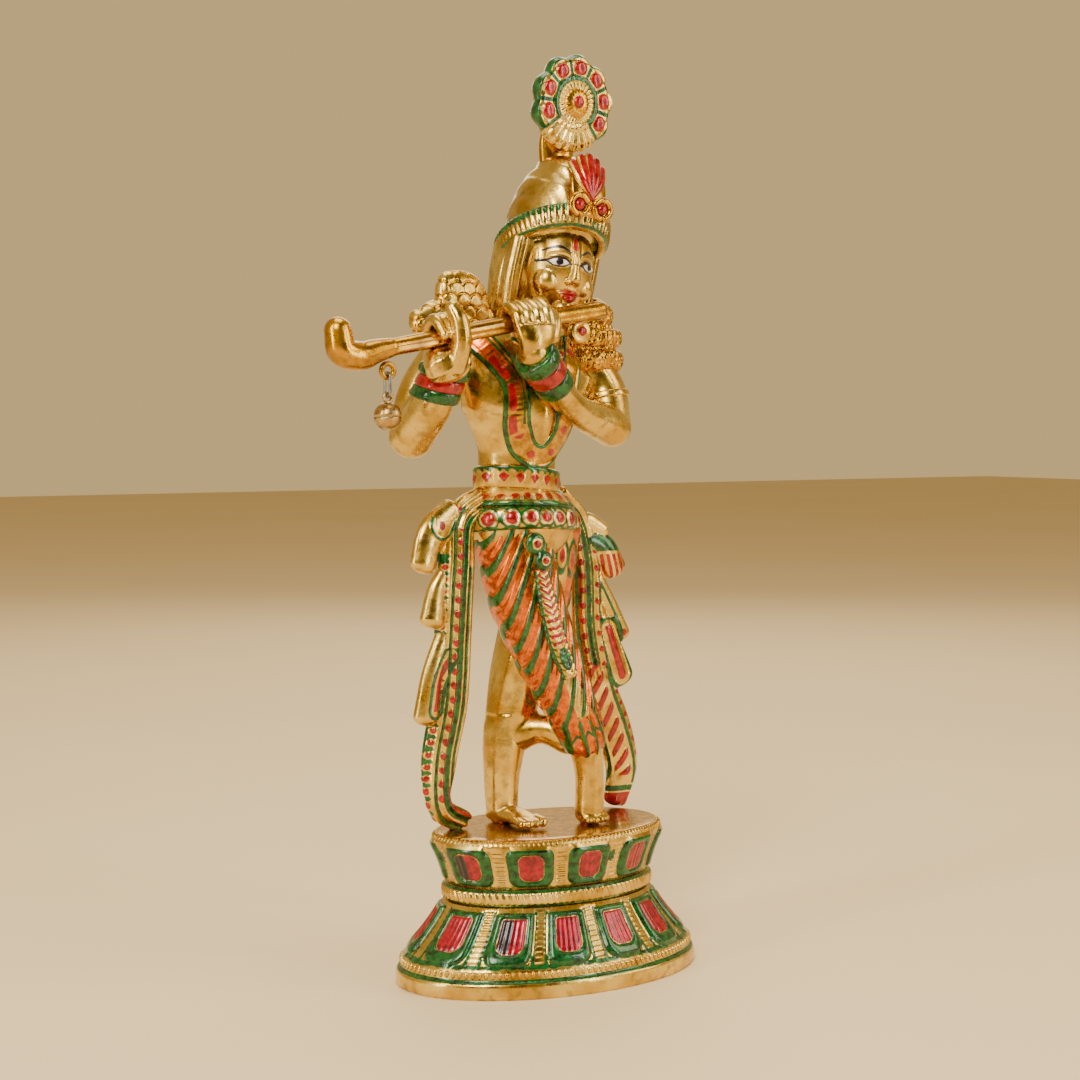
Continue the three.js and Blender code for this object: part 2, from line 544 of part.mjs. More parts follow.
piece('rear_leg_cloth', 'gilt', figure, (grow) => joined([
  limb([
    station(2, 4, 98, 12, 11), station(-1, 6, 72, 11, 10.4),
    station(-6, 8.6, 48, 9.6, 9.4), station(-11, 9.4, 29, 7.6, 7.4),
  ], { steps: 4, grow }),
  limb([station(-10, 8.4, 29.6, 6.2, 6.2), station(-1, 2, 30.6, 5.4, 5.8), station(5, -4, 28.8, 5.2, 5.2)],
    { sides: 8, steps: 3, across: Z, grow }),
]).intersect(halfSpaces.under(crotchHeight + grow)));

// --- Feet and screws ---

const STANDING_ANKLE = at(-13, 8, 6);
const CROSSED_ANKLE = at(11, -8.2, 6);

// A slotted pan-head screw that comes up through the deck, and its washer, on a leg's axis.
const deckUnderside = -JOINT_GAP - PEDESTAL_WALL;
const washerTop = deckUnderside - LEAST_GAP;
const headTop = washerTop - WASHER_THICKNESS - LEAST_GAP;

function screw(place, grow) {
  const profile = [
    [0, headTop - SCREW_HEAD_HEIGHT - grow],
    [SCREW_HEAD_RADIUS * 0.8 + grow, headTop - SCREW_HEAD_HEIGHT - grow],
    [SCREW_HEAD_RADIUS + grow, headTop - SCREW_HEAD_HEIGHT * 0.6],
    [SCREW_HEAD_RADIUS + grow, headTop + grow],
    [SCREW_RADIUS + grow, headTop + grow],
    [SCREW_RADIUS + grow, headTop + SCREW_LENGTH - SCREW_RADIUS / 2],
    [SCREW_RADIUS / 2 + grow, headTop + SCREW_LENGTH + grow],
    [0, headTop + SCREW_LENGTH + grow],
  ];
  const crownPoint = new THREE.Vector3(0, 0, headTop - SCREW_HEAD_HEIGHT);
  const slot = block(crownPoint, Z, 9, DRIVE_SLOT / 2, SCREW_HEAD_HEIGHT * 0.4);
  const made = solid(turned(profile, 14));
  return (grow ? made : made.subtract(slot)).translate(place.x, place.y, 0);
}

function washer(place, grow) {
  const hole = SCREW_RADIUS + LEAST_GAP - grow;
  const rim = WASHER_RADIUS + grow;
  const low = washerTop - WASHER_THICKNESS - grow;
  const high = washerTop + grow;
  const ring = turned([[hole, low], [rim, low], [rim, high], [hole, high], [hole, low]], 14);
  return solid(ring.translate(place.x, place.y, 0));
}

const fixings = [];
for (const [name, place] of [['standing', STANDING_ANKLE], ['crossed', CROSSED_ANKLE]]) {
  fixings.push({ name: `${name}_leg_screw`, shape: (grow) => screw(place, grow) });
  fixings.push({ name: `${name}_leg_washer`, shape: (grow) => washer(place, grow) });
}
for (const { name, shape } of fixings) piece(name, 'steel', figure, shape);

piece('standing_leg', 'gilt', figure, (grow) => joined([
  limb([station(-13, 8, 4, 4.8, 5.2), station(-12.8, 8.4, 16, 5.4, 5.8), station(-11.6, 8.8, 27, 6.4, 6.4)],
    { sides: 8, steps: 3, grow }),
  limb([station(-13.6, 10.6, 2.6, 4.2, 2.8), station(-12, 2, 3, 4.6, 2.8), station(-10.4, -5.6, 1.8, 5.2, 1.9)],
    { sides: 8, steps: 3, grow }),
]).intersect(halfSpaces.over(-grow)));

piece('crossed_leg', 'gilt', figure, (grow) => joined([
  limb([station(11, -8.2, 3.4, 5, 4.6), station(11, -8.4, 15, 4.8, 4.8), station(9, -9, 27, 5.8, 5.8)],
    { sides: 8, steps: 3, grow }),
  limb([station(11, -7.6, 6, 4.6, 3), station(11.6, -10.6, 2.4, 5, 2.2)], { sides: 8, steps: 2, grow }),
]).intersect(halfSpaces.over(-grow)));

// --- Pedestal ---

const halfFoot = PEDESTAL_WIDTH / 2;
const halfNeck = NECK_WIDTH / 2;
const halfDeck = DECK_WIDTH / 2;

// Points of a sloping wall between two [radius, height] ends, hollowed towards the axis.
function slope([fromRadius, fromHeight], [toRadius, toHeight], hollow, steps = 2) {
  const start = new THREE.Vector2(fromRadius, fromHeight);
  const end = new THREE.Vector2(toRadius, toHeight);
  const middle = start.clone().lerp(end, 0.5).add(new THREE.Vector2(-hollow, 0));
  return new THREE.QuadraticBezierCurve(start, middle, end).getPoints(steps).map((p) => [p.x, p.y]);
}

// Petals standing proud of a tier, evenly spaced round its oval at mid height.
function petalRing(count, [lowRadius, lowHeight], [highRadius, highHeight], share) {
  const middle = (lowRadius + highRadius) / 2;
  const rise = highHeight - lowHeight;
  const course = new THREE.EllipseCurve(0, 0, middle, middle * ovalRatio, 0, 2 * Math.PI);
  const pitch = course.getLength() / count;
  const petal = (n) => {
    const turn = course.getUtoTmapping((n + 0.5) / count);
    const place = course.getPoint(turn);
    const along = course.getTangent(turn);
    const outward = new THREE.Vector3(along.y, -along.x, 0);
    const lean = ((highRadius - lowRadius) * place.length()) / middle;
    const up = outward.clone().multiplyScalar(lean).addScaledVector(Z, rise).normalize();
    const tangent = new THREE.Vector3(along.x, along.y, 0);
    const normal = tangent.clone().cross(up);
    const frame = new THREE.Matrix4().makeBasis(tangent, normal, up);
    const shape = new THREE.SphereGeometry(1, 6, 3).rotateX(Math.PI / 2);
    shape.scale(pitch * 0.36, PETAL_RELIEF * 1.6, (rise * share) / (2 * up.z));
    shape.applyMatrix4(frame.setPosition(place.x, place.y, (lowHeight + highHeight) / 2));
    return solid(shape);
  };
  return joined(Array.from({ length: count }, (_, n) => petal(n)));
}

const lowerFoot = [halfFoot - 4, 10];
const lowerHead = [halfNeck + 1.6, LOWER_TIER_HEIGHT - 1.4];
const upperFoot = [halfNeck + 0.4, upperBase + 1.4];
const upperHead = [halfDeck - 0.4, deckTop - 3.4];

piece('pedestal_upper_tier', 'gilt', statue, (grow) => {
  const wall = PEDESTAL_WALL;
  const outside = [
    [0, deckTop + grow], [halfDeck - 4, deckTop + grow],
    [halfDeck - 1.4 + grow, deckTop - 0.6 + grow], [halfDeck + grow, deckTop - 2.2],
    ...slope([upperHead[0] + grow, upperHead[1]], [upperFoot[0] + grow, upperFoot[1]], 1),
    [upperFoot[0] + grow, upperBase - grow],
  ];
  const inside = [
    [upperFoot[0] - wall, upperBase - grow], [upperHead[0] - wall, deckTop - wall - 1.5], [0, deckTop - wall],
  ];
  return oval([...outside, ...inside]).add(petalRing(UPPER_PETALS, upperFoot, upperHead, 0.92));
});

piece('pedestal_neck_band', 'gilt', statue, () => {
  const low = neckBase;
  const high = neckBase + NECK_BAND_HEIGHT;
  const inner = halfNeck - PEDESTAL_WALL;
  return oval([
    [inner, low], [halfNeck + 0.4, low], [halfNeck + 1.8, low + 1.2], [halfNeck + 1.8, high - 1.2],
    [halfNeck + 0.4, high], [inner, high], [inner, low],
  ]);
});

piece('pedestal_lower_tier', 'gilt', statue, () => {
  const wall = PEDESTAL_WALL;
  return oval([
    [halfFoot - wall, 0], [halfFoot, 0], [halfFoot, FOOT_RIM_HEIGHT], [halfFoot - 1.6, FOOT_RIM_HEIGHT + 1.2],
    [halfFoot - 2, lowerFoot[1] - 1],
    ...slope(lowerFoot, lowerHead, 1.6),
    [lowerHead[0], LOWER_TIER_HEIGHT], [lowerHead[0] - wall, LOWER_TIER_HEIGHT],
    ...slope([lowerHead[0] - wall, lowerHead[1]], [lowerFoot[0] - wall, lowerFoot[1]], 1.6),
    [halfFoot - wall, FOOT_RIM_HEIGHT], [halfFoot - wall, 0],
  ]).add(petalRing(LOWER_PETALS, lowerFoot, lowerHead, 0.94));
});

// --- Fit the pieces to each other and hang them in their frames ---

const swollen = [];
function solidInStatue({ name, frame, shape }, grow) {
  return solid(geometryOf(shape(grow), frame.matrixWorld));
}

function boxesMeet(a, b) {
  const [first, second] = [a.boundingBox(), b.boundingBox()];
  return [0, 1, 2].every((k) => first.min[k] < second.max[k] && second.min[k] < first.max[k]);
}

// The largest body of a solid, since a cut can leave a crumb beside it.
function largest(made) {
  return made.decompose().reduce((best, next) => (next.volume() > best.volume() ? next : best));
}

// Pieces that are held apart by their own shapes, and so aren't cut by each other.
const clearOfAll = ['bell_lug', 'bell_wire_link', 'bell_shank_loop', 'bell_pellet'];

for (const entry of pieces) {
  let made = solidInStatue(entry, 0);
  if (!clearOfAll.includes(entry.name)) {
    for (const { standsOff, cutter } of swollen) {
      if (standsOff !== entry.name && boxesMeet(made, cutter)) made = made.subtract(cutter);
    }
    made = largest(made);
  }
  swollen.push({ standsOff: entry.standsOff, cutter: solidInStatue(entry, JOINT_GAP) });
  const mesh = new THREE.Mesh(geometryOf(made, entry.frame.matrixWorld.clone().invert()), finishes[entry.finish]);
  mesh.name = entry.name;
  entry.frame.add(mesh);
}

// The origin goes to the bottom centre of the whole piece's box.
statue.updateMatrixWorld(true);
const extent = new THREE.Box3().setFromObject(statue);
statue.position.set(-(extent.min.x + extent.max.x) / 2, -(extent.min.y + extent.max.y) / 2, -extent.min.z);

export default statue;
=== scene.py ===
import math

import bmesh
import bpy
import numpy as np
from mathutils import Matrix, Vector
from mathutils.bvhtree import BVHTree
from mathutils.interpolate import poly_3d_calc


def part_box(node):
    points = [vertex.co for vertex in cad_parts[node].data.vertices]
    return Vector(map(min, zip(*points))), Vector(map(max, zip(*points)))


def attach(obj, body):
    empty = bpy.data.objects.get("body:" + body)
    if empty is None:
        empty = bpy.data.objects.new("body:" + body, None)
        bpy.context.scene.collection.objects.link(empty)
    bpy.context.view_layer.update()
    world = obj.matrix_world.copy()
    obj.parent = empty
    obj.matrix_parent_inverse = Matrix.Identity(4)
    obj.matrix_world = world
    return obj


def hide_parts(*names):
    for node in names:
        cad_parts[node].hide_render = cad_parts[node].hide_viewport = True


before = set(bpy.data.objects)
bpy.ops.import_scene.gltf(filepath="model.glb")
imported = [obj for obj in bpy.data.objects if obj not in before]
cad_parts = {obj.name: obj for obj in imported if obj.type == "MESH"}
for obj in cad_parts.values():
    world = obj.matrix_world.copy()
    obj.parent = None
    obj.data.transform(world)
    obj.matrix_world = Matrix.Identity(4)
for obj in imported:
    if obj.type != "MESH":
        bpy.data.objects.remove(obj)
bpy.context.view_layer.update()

mm = 0.001
jointGap = 0.3
scene = bpy.context.scene

# Everything below is in millimetres in one of these frames: the pedestal's, the figure's on its deck,
# the head's, the flute's, and the bell's at the centre of its lug.
tierLow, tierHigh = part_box("pedestal_lower_tier")
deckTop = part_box("pedestal_upper_tier")[1].z
axisX, axisY = (tierLow.x + tierHigh.x) / 2, (tierLow.y + tierHigh.y) / 2
lugLow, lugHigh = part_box("bell_lug")
pedestalFrame = Matrix.Translation((axisX, axisY, 0)) @ Matrix.Scale(mm, 4)
figureFrame = Matrix.Translation((axisX, axisY, deckTop + jointGap * mm)) @ Matrix.Scale(mm, 4)
headFrame = figureFrame @ Matrix.Translation((-2, -1, 168)) @ Matrix.Rotation(math.radians(9), 4, "Y")
fluteFrame = figureFrame @ Matrix.Translation((-19.5, -17.6, 163.4)) @ Matrix.Rotation(math.radians(-9.6), 4,
    "Y")
bellFrame = Matrix.Translation((lugLow + lugHigh) / 2) @ Matrix.Scale(mm, 4)
print("frame loaded")


def curveThrough(points, shares):
    # a centripetal curve, so that close stations don't make a loop
    points = np.array(points, float)
    padded = np.vstack([2 * points[0] - points[1], points, 2 * points[-1] - points[-2]])
    places = np.clip(np.asarray(shares, float), 0, 1) * (len(points) - 1)
    cell = np.minimum(places.astype(int), len(points) - 2)
    t = (places - cell)[:, None]
    p0, p1, p2, p3 = (padded[cell + k] for k in range(4))
    d0, d1, d2 = (np.sqrt(np.linalg.norm(b - a, axis=1))[:, None] for a, b in ((p0, p1), (p1, p2), (p2, p3)))
    d1 = np.where(d1 < 1e-4, 1, d1)
    d0 = np.where(d0 < 1e-4, d1, d0)
    d2 = np.where(d2 < 1e-4, d1, d2)
    leave = ((p1 - p0) / d0 - (p2 - p0) / (d0 + d1) + (p2 - p1) / d1) * d1
    arrive = ((p2 - p1) / d1 - (p3 - p1) / (d1 + d2) + (p3 - p2) / d2) * d1
    return p1 + leave * t + (3 * (p2 - p1) - 2 * leave - arrive) * t ** 2 + (2 * (p1 - p2) + leave
        + arrive) * t ** 3


def unit(vectors):
    return vectors / np.maximum(np.linalg.norm(vectors, axis=1), 1e-9)[:, None]


# along and across are millimetres on a limb, side and face run from -1 to 1 round it, part is the limb's number
marks = ("along", "across", "side", "face", "part")


def startMesh():
    bm = bmesh.new()
    for name in marks:
        bm.verts.layers.float.new(name)
    return bm


def markSkin(bm, verts, **values):
    for name, numbers in values.items():
        layer = bm.verts.layers.float[name]
        for vert, number in zip(verts, np.broadcast_to(numbers, len(verts))):
            vert[layer] = float(number)


def addLimb(bm, stations, sides=40, steps=48, across=(1, 0, 0), cap=1.0, ends=6, part=0, square=1.0):
    # a sphere whose rings move onto a curve through stations of (x, y, z, half width, half depth)
    rings = steps + 2 * ends
    verts = bmesh.ops.create_uvsphere(bm, u_segments=sides, v_segments=rings, radius=1)["verts"]
    faces = list({face for vert in verts for face in vert.link_faces})
    local = np.array([vert.co[:] for vert in verts])
    ring = np.rint(np.arccos(np.clip(-local[:, 2], -1, 1)) / math.pi * rings)
    angle = np.arctan2(local[:, 1], local[:, 0])
    share = np.clip((ring - ends) / steps, 0, 1)
    turn = (np.clip(ring - ends - steps, 0, None) - np.clip(ends - ring, 0, None)) / ends * math.pi / 2
    centres = [s[:3] for s in stations]
    girth = curveThrough([(s[3], s[4] if len(s) > 4 else s[3], 0) for s in stations], share)
    tangent = unit(curveThrough(centres, share + 1e-3) - curveThrough(centres, share - 1e-3))
    side = np.array(across, float) - tangent * (tangent @ np.array(across, float))[:, None]
    side = unit(side)
    through = np.cross(side, tangent)
    swing = np.cos(angle) * np.cos(turn)
    lean = np.sin(angle) * np.cos(turn)
    if square != 1.0:  # flatter sides than an ellipse's
        swing, lean = (np.sign(v) * np.abs(v) ** square for v in (swing, lean))
    reach = np.sin(turn) * cap * girth[:, :2].min(axis=1)
    place = curveThrough(centres, share) + side * (swing * girth[:, 0])[:, None]
    place += through * (lean * girth[:, 1])[:, None] + tangent * reach[:, None]
    for vert, spot in zip(verts, place):
        vert.co = spot
    fine = curveThrough(centres, np.linspace(0, 1, 201))
    lengths = np.concatenate([[0], np.cumsum(np.linalg.norm(np.diff(fine, axis=0), axis=1))])
    along = np.interp(share, np.linspace(0, 1, 201), lengths) + reach
    front = np.where((through @ np.array([0, -1.0, 0])) < 0, -lean, lean)
    markSkin(bm, verts, along=along, across=swing * girth[:, 0], side=swing, face=front, part=part)
    bmesh.ops.recalc_face_normals(bm, faces=faces)
    return verts


def addDrop(bm, centre, radii, turn=None, sides=14, rings=10, part=0):
    # a flattened or stretched ball, turned by a matrix
    matrix = Matrix.Translation(centre) @ (turn or Matrix.Identity(4)) @ Matrix.Diagonal((*radii, 1))
    verts = bmesh.ops.create_uvsphere(bm, u_segments=sides, v_segments=rings, radius=1, matrix=matrix)["verts"]
    markSkin(bm, verts, part=part)
    return verts


def treeOf(bm):
    bm.normal_update()
    return BVHTree.FromBMesh(bm)


def addBand(bm, tree, centre, axis, halfHeight, relief, steps=240, rings=24, flat=0.6, part=0):
    # a ring of round-edged strip that follows a body, found by rays from a centre inside it
    turned = bmesh.ops.create_circle(bm, cap_ends=False, segments=rings, radius=1,
                                     matrix=Matrix.Translation((5, 0, 0)) @ Matrix.Rotation(math.pi / 2, 4,
                                         "X"))["verts"]
    edges = list({edge for vert in turned for edge in vert.link_edges})
    swept = bmesh.ops.spin(bm, geom=turned + edges, cent=(0, 0, 0), axis=(0, 0, 1), dvec=(0, 0, 0),
                           angle=2 * math.pi, steps=steps, use_merge=True, use_normal_flip=False,
                           use_duplicate=False)
    verts = list({vert for face in bm.faces for vert in face.verts if not face.tag})
    faces = [face for face in bm.faces if not face.tag]
    up = Vector(axis).normalized()
    ahead = (Vector((0, -1, 0)) - up * Vector((0, -1, 0)).dot(up)).normalized()
    aside = up.cross(ahead)
    spots, along, across, face = [], [], [], []
    girth = []
    for vert in verts:
        angle = math.atan2(vert.co.y, vert.co.x)
        out = math.hypot(vert.co.x, vert.co.y) - 5
        rise = vert.co.z
        out, rise = (math.copysign(abs(v) ** flat, v) for v in (out, rise))
        start = Vector(centre) + up * (rise * halfHeight)
        away = ahead * math.cos(angle) + aside * math.sin(angle)
        hit = tree.ray_cast(start, away)[3] or 5.0
        spots.append(start + away * (hit + relief * (out if out > 0 else 0.8 * out)))
        girth.append(hit)
        along.append(angle)
        across.append(rise * halfHeight)
        face.append(out)
    for vert, spot in zip(verts, spots):
        vert.co = spot
    for one in faces:
        one.tag = True
    markSkin(bm, verts, along=np.array(along) * np.mean(girth), across=across,
             side=np.array(across) / halfHeight,
             face=face, part=part)
    bmesh.ops.recalc_face_normals(bm, faces=faces)
    return swept


def addRibbon(bm, tree, course, halfWidth, relief, sides=28, steps=90, ends=6, flat=0.55, part=0):
    # a strip laid on the front of a body along a course of (x, z)
    rings = steps + 2 * ends
    verts = bmesh.ops.create_uvsphere(bm, u_segments=sides, v_segments=rings, radius=1)["verts"]
    faces = list({face for vert in verts for face in vert.link_faces})
    local = np.array([vert.co[:] for vert in verts])
    ring = np.rint(np.arccos(np.clip(-local[:, 2], -1, 1)) / math.pi * rings)
    angle = np.arctan2(local[:, 1], local[:, 0])
    share = np.clip((ring - ends) / steps, 0, 1)
    turn = (np.clip(ring - ends - steps, 0, None) - np.clip(ends - ring, 0, None)) / ends * math.pi / 2
    points = [(x, 0, z) for x, z in course]
    tangent = unit(curveThrough(points, share + 1e-3) - curveThrough(points, share - 1e-3))
    sideways = np.cross(tangent, np.array([0, 1.0, 0]))
    swing, lean = np.cos(angle) * np.cos(turn), np.sin(angle) * np.cos(turn)
    swing, lean = (np.sign(v) * np.abs(v) ** flat for v in (swing, lean))
    place = curveThrough(points, share) + sideways * (swing * halfWidth)[:, None]
    place += tangent * (np.sin(turn) * relief)[:, None]
    for vert, spot, proud in zip(verts, place, lean):
        hit, normal = tree.ray_cast(Vector((spot[0], -200, spot[2])), Vector((0, 1, 0)))[:2]
        if hit is None:
            hit, normal = tree.find_nearest(Vector((spot[0], -10, spot[2])))[:2]
        vert.co = hit + normal * (relief * (proud if proud > 0 else 0.8 * proud))
    fine = curveThrough(points, np.linspace(0, 1, 201))
    lengths = np.concatenate([[0], np.cumsum(np.linalg.norm(np.diff(fine, axis=0), axis=1))])
    along = np.interp(share, np.linspace(0, 1, 201), lengths) + np.sin(turn) * relief
    markSkin(bm, verts, along=along, across=swing * halfWidth, side=swing, face=lean, part=part)
    bmesh.ops.recalc_face_normals(bm, faces=faces)


def weld(bm, voxel, passes=3, carry=True):
    # one skin over overlapping limbs, with their marks carried to it
    mesh = bpy.data.meshes.new("weldSource")
    bm.to_mesh(mesh)
    holder = bpy.data.objects.new("weldHolder", mesh)
    scene.collection.objects.link(holder)
    remesh = holder.modifiers.new("skin", "REMESH")
    remesh.mode = "VOXEL"
    remesh.voxel_size = voxel
    seen = holder.evaluated_get(bpy.context.evaluated_depsgraph_get())
    skin = bmesh.new()
    skin.from_mesh(seen.to_mesh())
    for name in marks:
        if not skin.verts.layers.float.get(name):
            skin.verts.layers.float.new(name)
    seen.to_mesh_clear()
    for _ in range(passes):
        bmesh.ops.smooth_vert(skin, verts=skin.verts, factor=0.5, use_axis_x=True, use_axis_y=True,
                              use_axis_z=True)
    if carry:
        tree = BVHTree.FromBMesh(bm)
        bm.faces.ensure_lookup_table()
        pairs = [(bm.verts.layers.float[name], name) for name in marks]
        found = {name: [] for name in marks}
        for vert in skin.verts:
            place, _, index, _ = tree.find_nearest(vert.co)
            corners = bm.faces[index].verts
            weights = poly_3d_calc([corner.co for corner in corners], place)
            for layer, name in pairs:
                found[name].append(sum(w * corner[layer] for w, corner in zip(weights, corners)))
        markSkin(skin, list(skin.verts), **found)
    bpy.data.objects.remove(holder)
    bpy.data.meshes.remove(mesh)
    bm.free()
    return skin


class Skin:
    # a mesh's vertices as arrays, to paint and raise by
    def __init__(self, bm):
        self.mesh = bpy.data.meshes.new("skin")
        bm.normal_update()
        bm.to_mesh(self.mesh)
        count = len(self.mesh.vertices)
        self.place = np.empty(count * 3)
        self.mesh.vertices.foreach_get("co", self.place)
        self.place = self.place.reshape(-1, 3)
        self.normal = np.array([vert.normal[:] for vert in bm.verts])
        self.x, self.y, self.z = self.place.T.copy()
        self.nx, self.ny, self.nz = self.normal.T
        for name in marks:
            numbers = np.zeros(count, np.float32)
            self.mesh.attributes[name].data.foreach_get("value", numbers)
            setattr(self, name, numbers)
        self.paints = {}
        bm.free()

    # inside is millimetres within a painted patch's edge, negative outside it; the stored edge is at 1
    def paint(self, enamel, inside):
        self.paints[enamel] = np.maximum(self.paints.get(enamel, 0), np.clip(inside + 1, 0, 2))

    def raiseBy(self, amount):
        self.place += self.normal * np.broadcast_to(amount, len(self.place))[:, None]

    def finished(self):
        self.mesh.vertices.foreach_set("co", self.place.ravel())
        for name in marks:
            self.mesh.attributes.remove(self.mesh.attributes[name])
        for name, values in self.paints.items():
            self.mesh.attributes.new(name, "FLOAT", "POINT").data.foreach_set("value",
                values.astype(np.float32))
        return self.mesh


def repeat(values, pitch, start=0.0):
    return (values - start + pitch / 2) % pitch - pitch / 2


def nearPath(points, u, v):
    best = np.full(np.shape(u), 1e6)
    for (ax, ay), (bx, by) in zip(points[:-1], points[1:]):
        dx, dy = bx - ax, by - ay
        t = np.clip(((u - ax) * dx + (v - ay) * dy) / (dx * dx + dy * dy), 0, 1)
        best = np.minimum(best, np.hypot(u - ax - t * dx, v - ay - t * dy))
    return best


def smoothCourse(points, steps=40):
    return [tuple(p[:2]) for p in curveThrough([(x, y, 0) for x, y in points], np.linspace(0, 1, steps))]


def oval(u, v, halfU, halfV):
    # millimetres inside an ellipse, near enough for a painted edge
    return (1 - np.hypot(u / halfU, v / halfV)) * np.minimum(halfU, halfV)


def plate(u, v, halfU, halfV, lowCorner, highCorner):
    # millimetres inside a rectangle with rounded corners
    corner = np.where(v < 0, lowCorner, highCorner)
    outU, outV = np.abs(u) - halfU + corner, np.abs(v) - halfV + corner
    return corner - np.minimum(np.maximum(outU, outV), 0) - np.hypot(np.maximum(outU, 0), np.maximum(outV, 0))


def swell(inside, width):
    # 0 at an edge to 1 at a depth of width, rounded
    return np.sqrt(1 - (1 - np.clip(inside / width, 0, 1)) ** 2)


def makePiece(skin, name, place, finish, nodes=(), body="statue"):
    mesh = (skin if isinstance(skin, Skin) else Skin(skin)).finished()
    mesh.name = name
    mesh.transform(place)
    mesh.update()
    mesh.polygons.foreach_set("use_smooth", [True] * len(mesh.polygons))
    mesh.materials.append(finish)
    piece = bpy.data.objects.new(name, mesh)
    scene.collection.objects.link(piece)
    if nodes:
        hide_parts(*nodes)
    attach(piece, body)
    return piece


def toLinear(hexColour):
    value = int(hexColour.lstrip("#"), 16)
    channels = [((value >> shift) & 255) / 255 for shift in (16, 8, 0)]
    return [c / 12.92 if c <= 0.04045 else ((c + 0.055) / 1.055) ** 2.4 for c in channels] + [1.0]


def addNode(tree, kind, settings=None, links=None):
    node = tree.nodes.new(kind)
    for key, value in (settings or {}).items():
        if isinstance(key, int) or not hasattr(node, key):
            node.inputs[key].default_value = value
        else:
            setattr(node, key, value)
    for key, socket in (links or {}).items():
        tree.links.new(socket, node.inputs[key])
    return node


enamels = {
    # each patch of paint: its dark and light sides, how much of the metal shows, and its roughness
    "green": dict(dark="#052A0C", light="#176428", metal=0.25, rough=0.22),
    "red": dict(dark="#700005", light="#B4000A", metal=0.15, rough=0.22),
    "crimson": dict(dark="#700014", light="#B00024", metal=0.2, rough=0.22),
    "orange": dict(dark="#AE4A00", light="#EC7600", metal=0.92, rough=0.24),
    "amberPaint": dict(dark="#9A6A0A", light="#D29A14", metal=0.95, rough=0.22),
    "pale": dict(dark="#E2C67C", light="#FFF2CC", metal=0.7, rough=0.18),
    # the near-black paint draws the eyes' lines, pupils and brows, and is also painted shade on one half of a
    # few petal hearts
    "inkAndPaintedShade": dict(dark="#120A10", light="#2C1A22", metal=0.1, rough=0.25),
    "white": dict(dark="#C9C2B4", light="#F4F0E6", metal=0.0, rough=0.25),
}


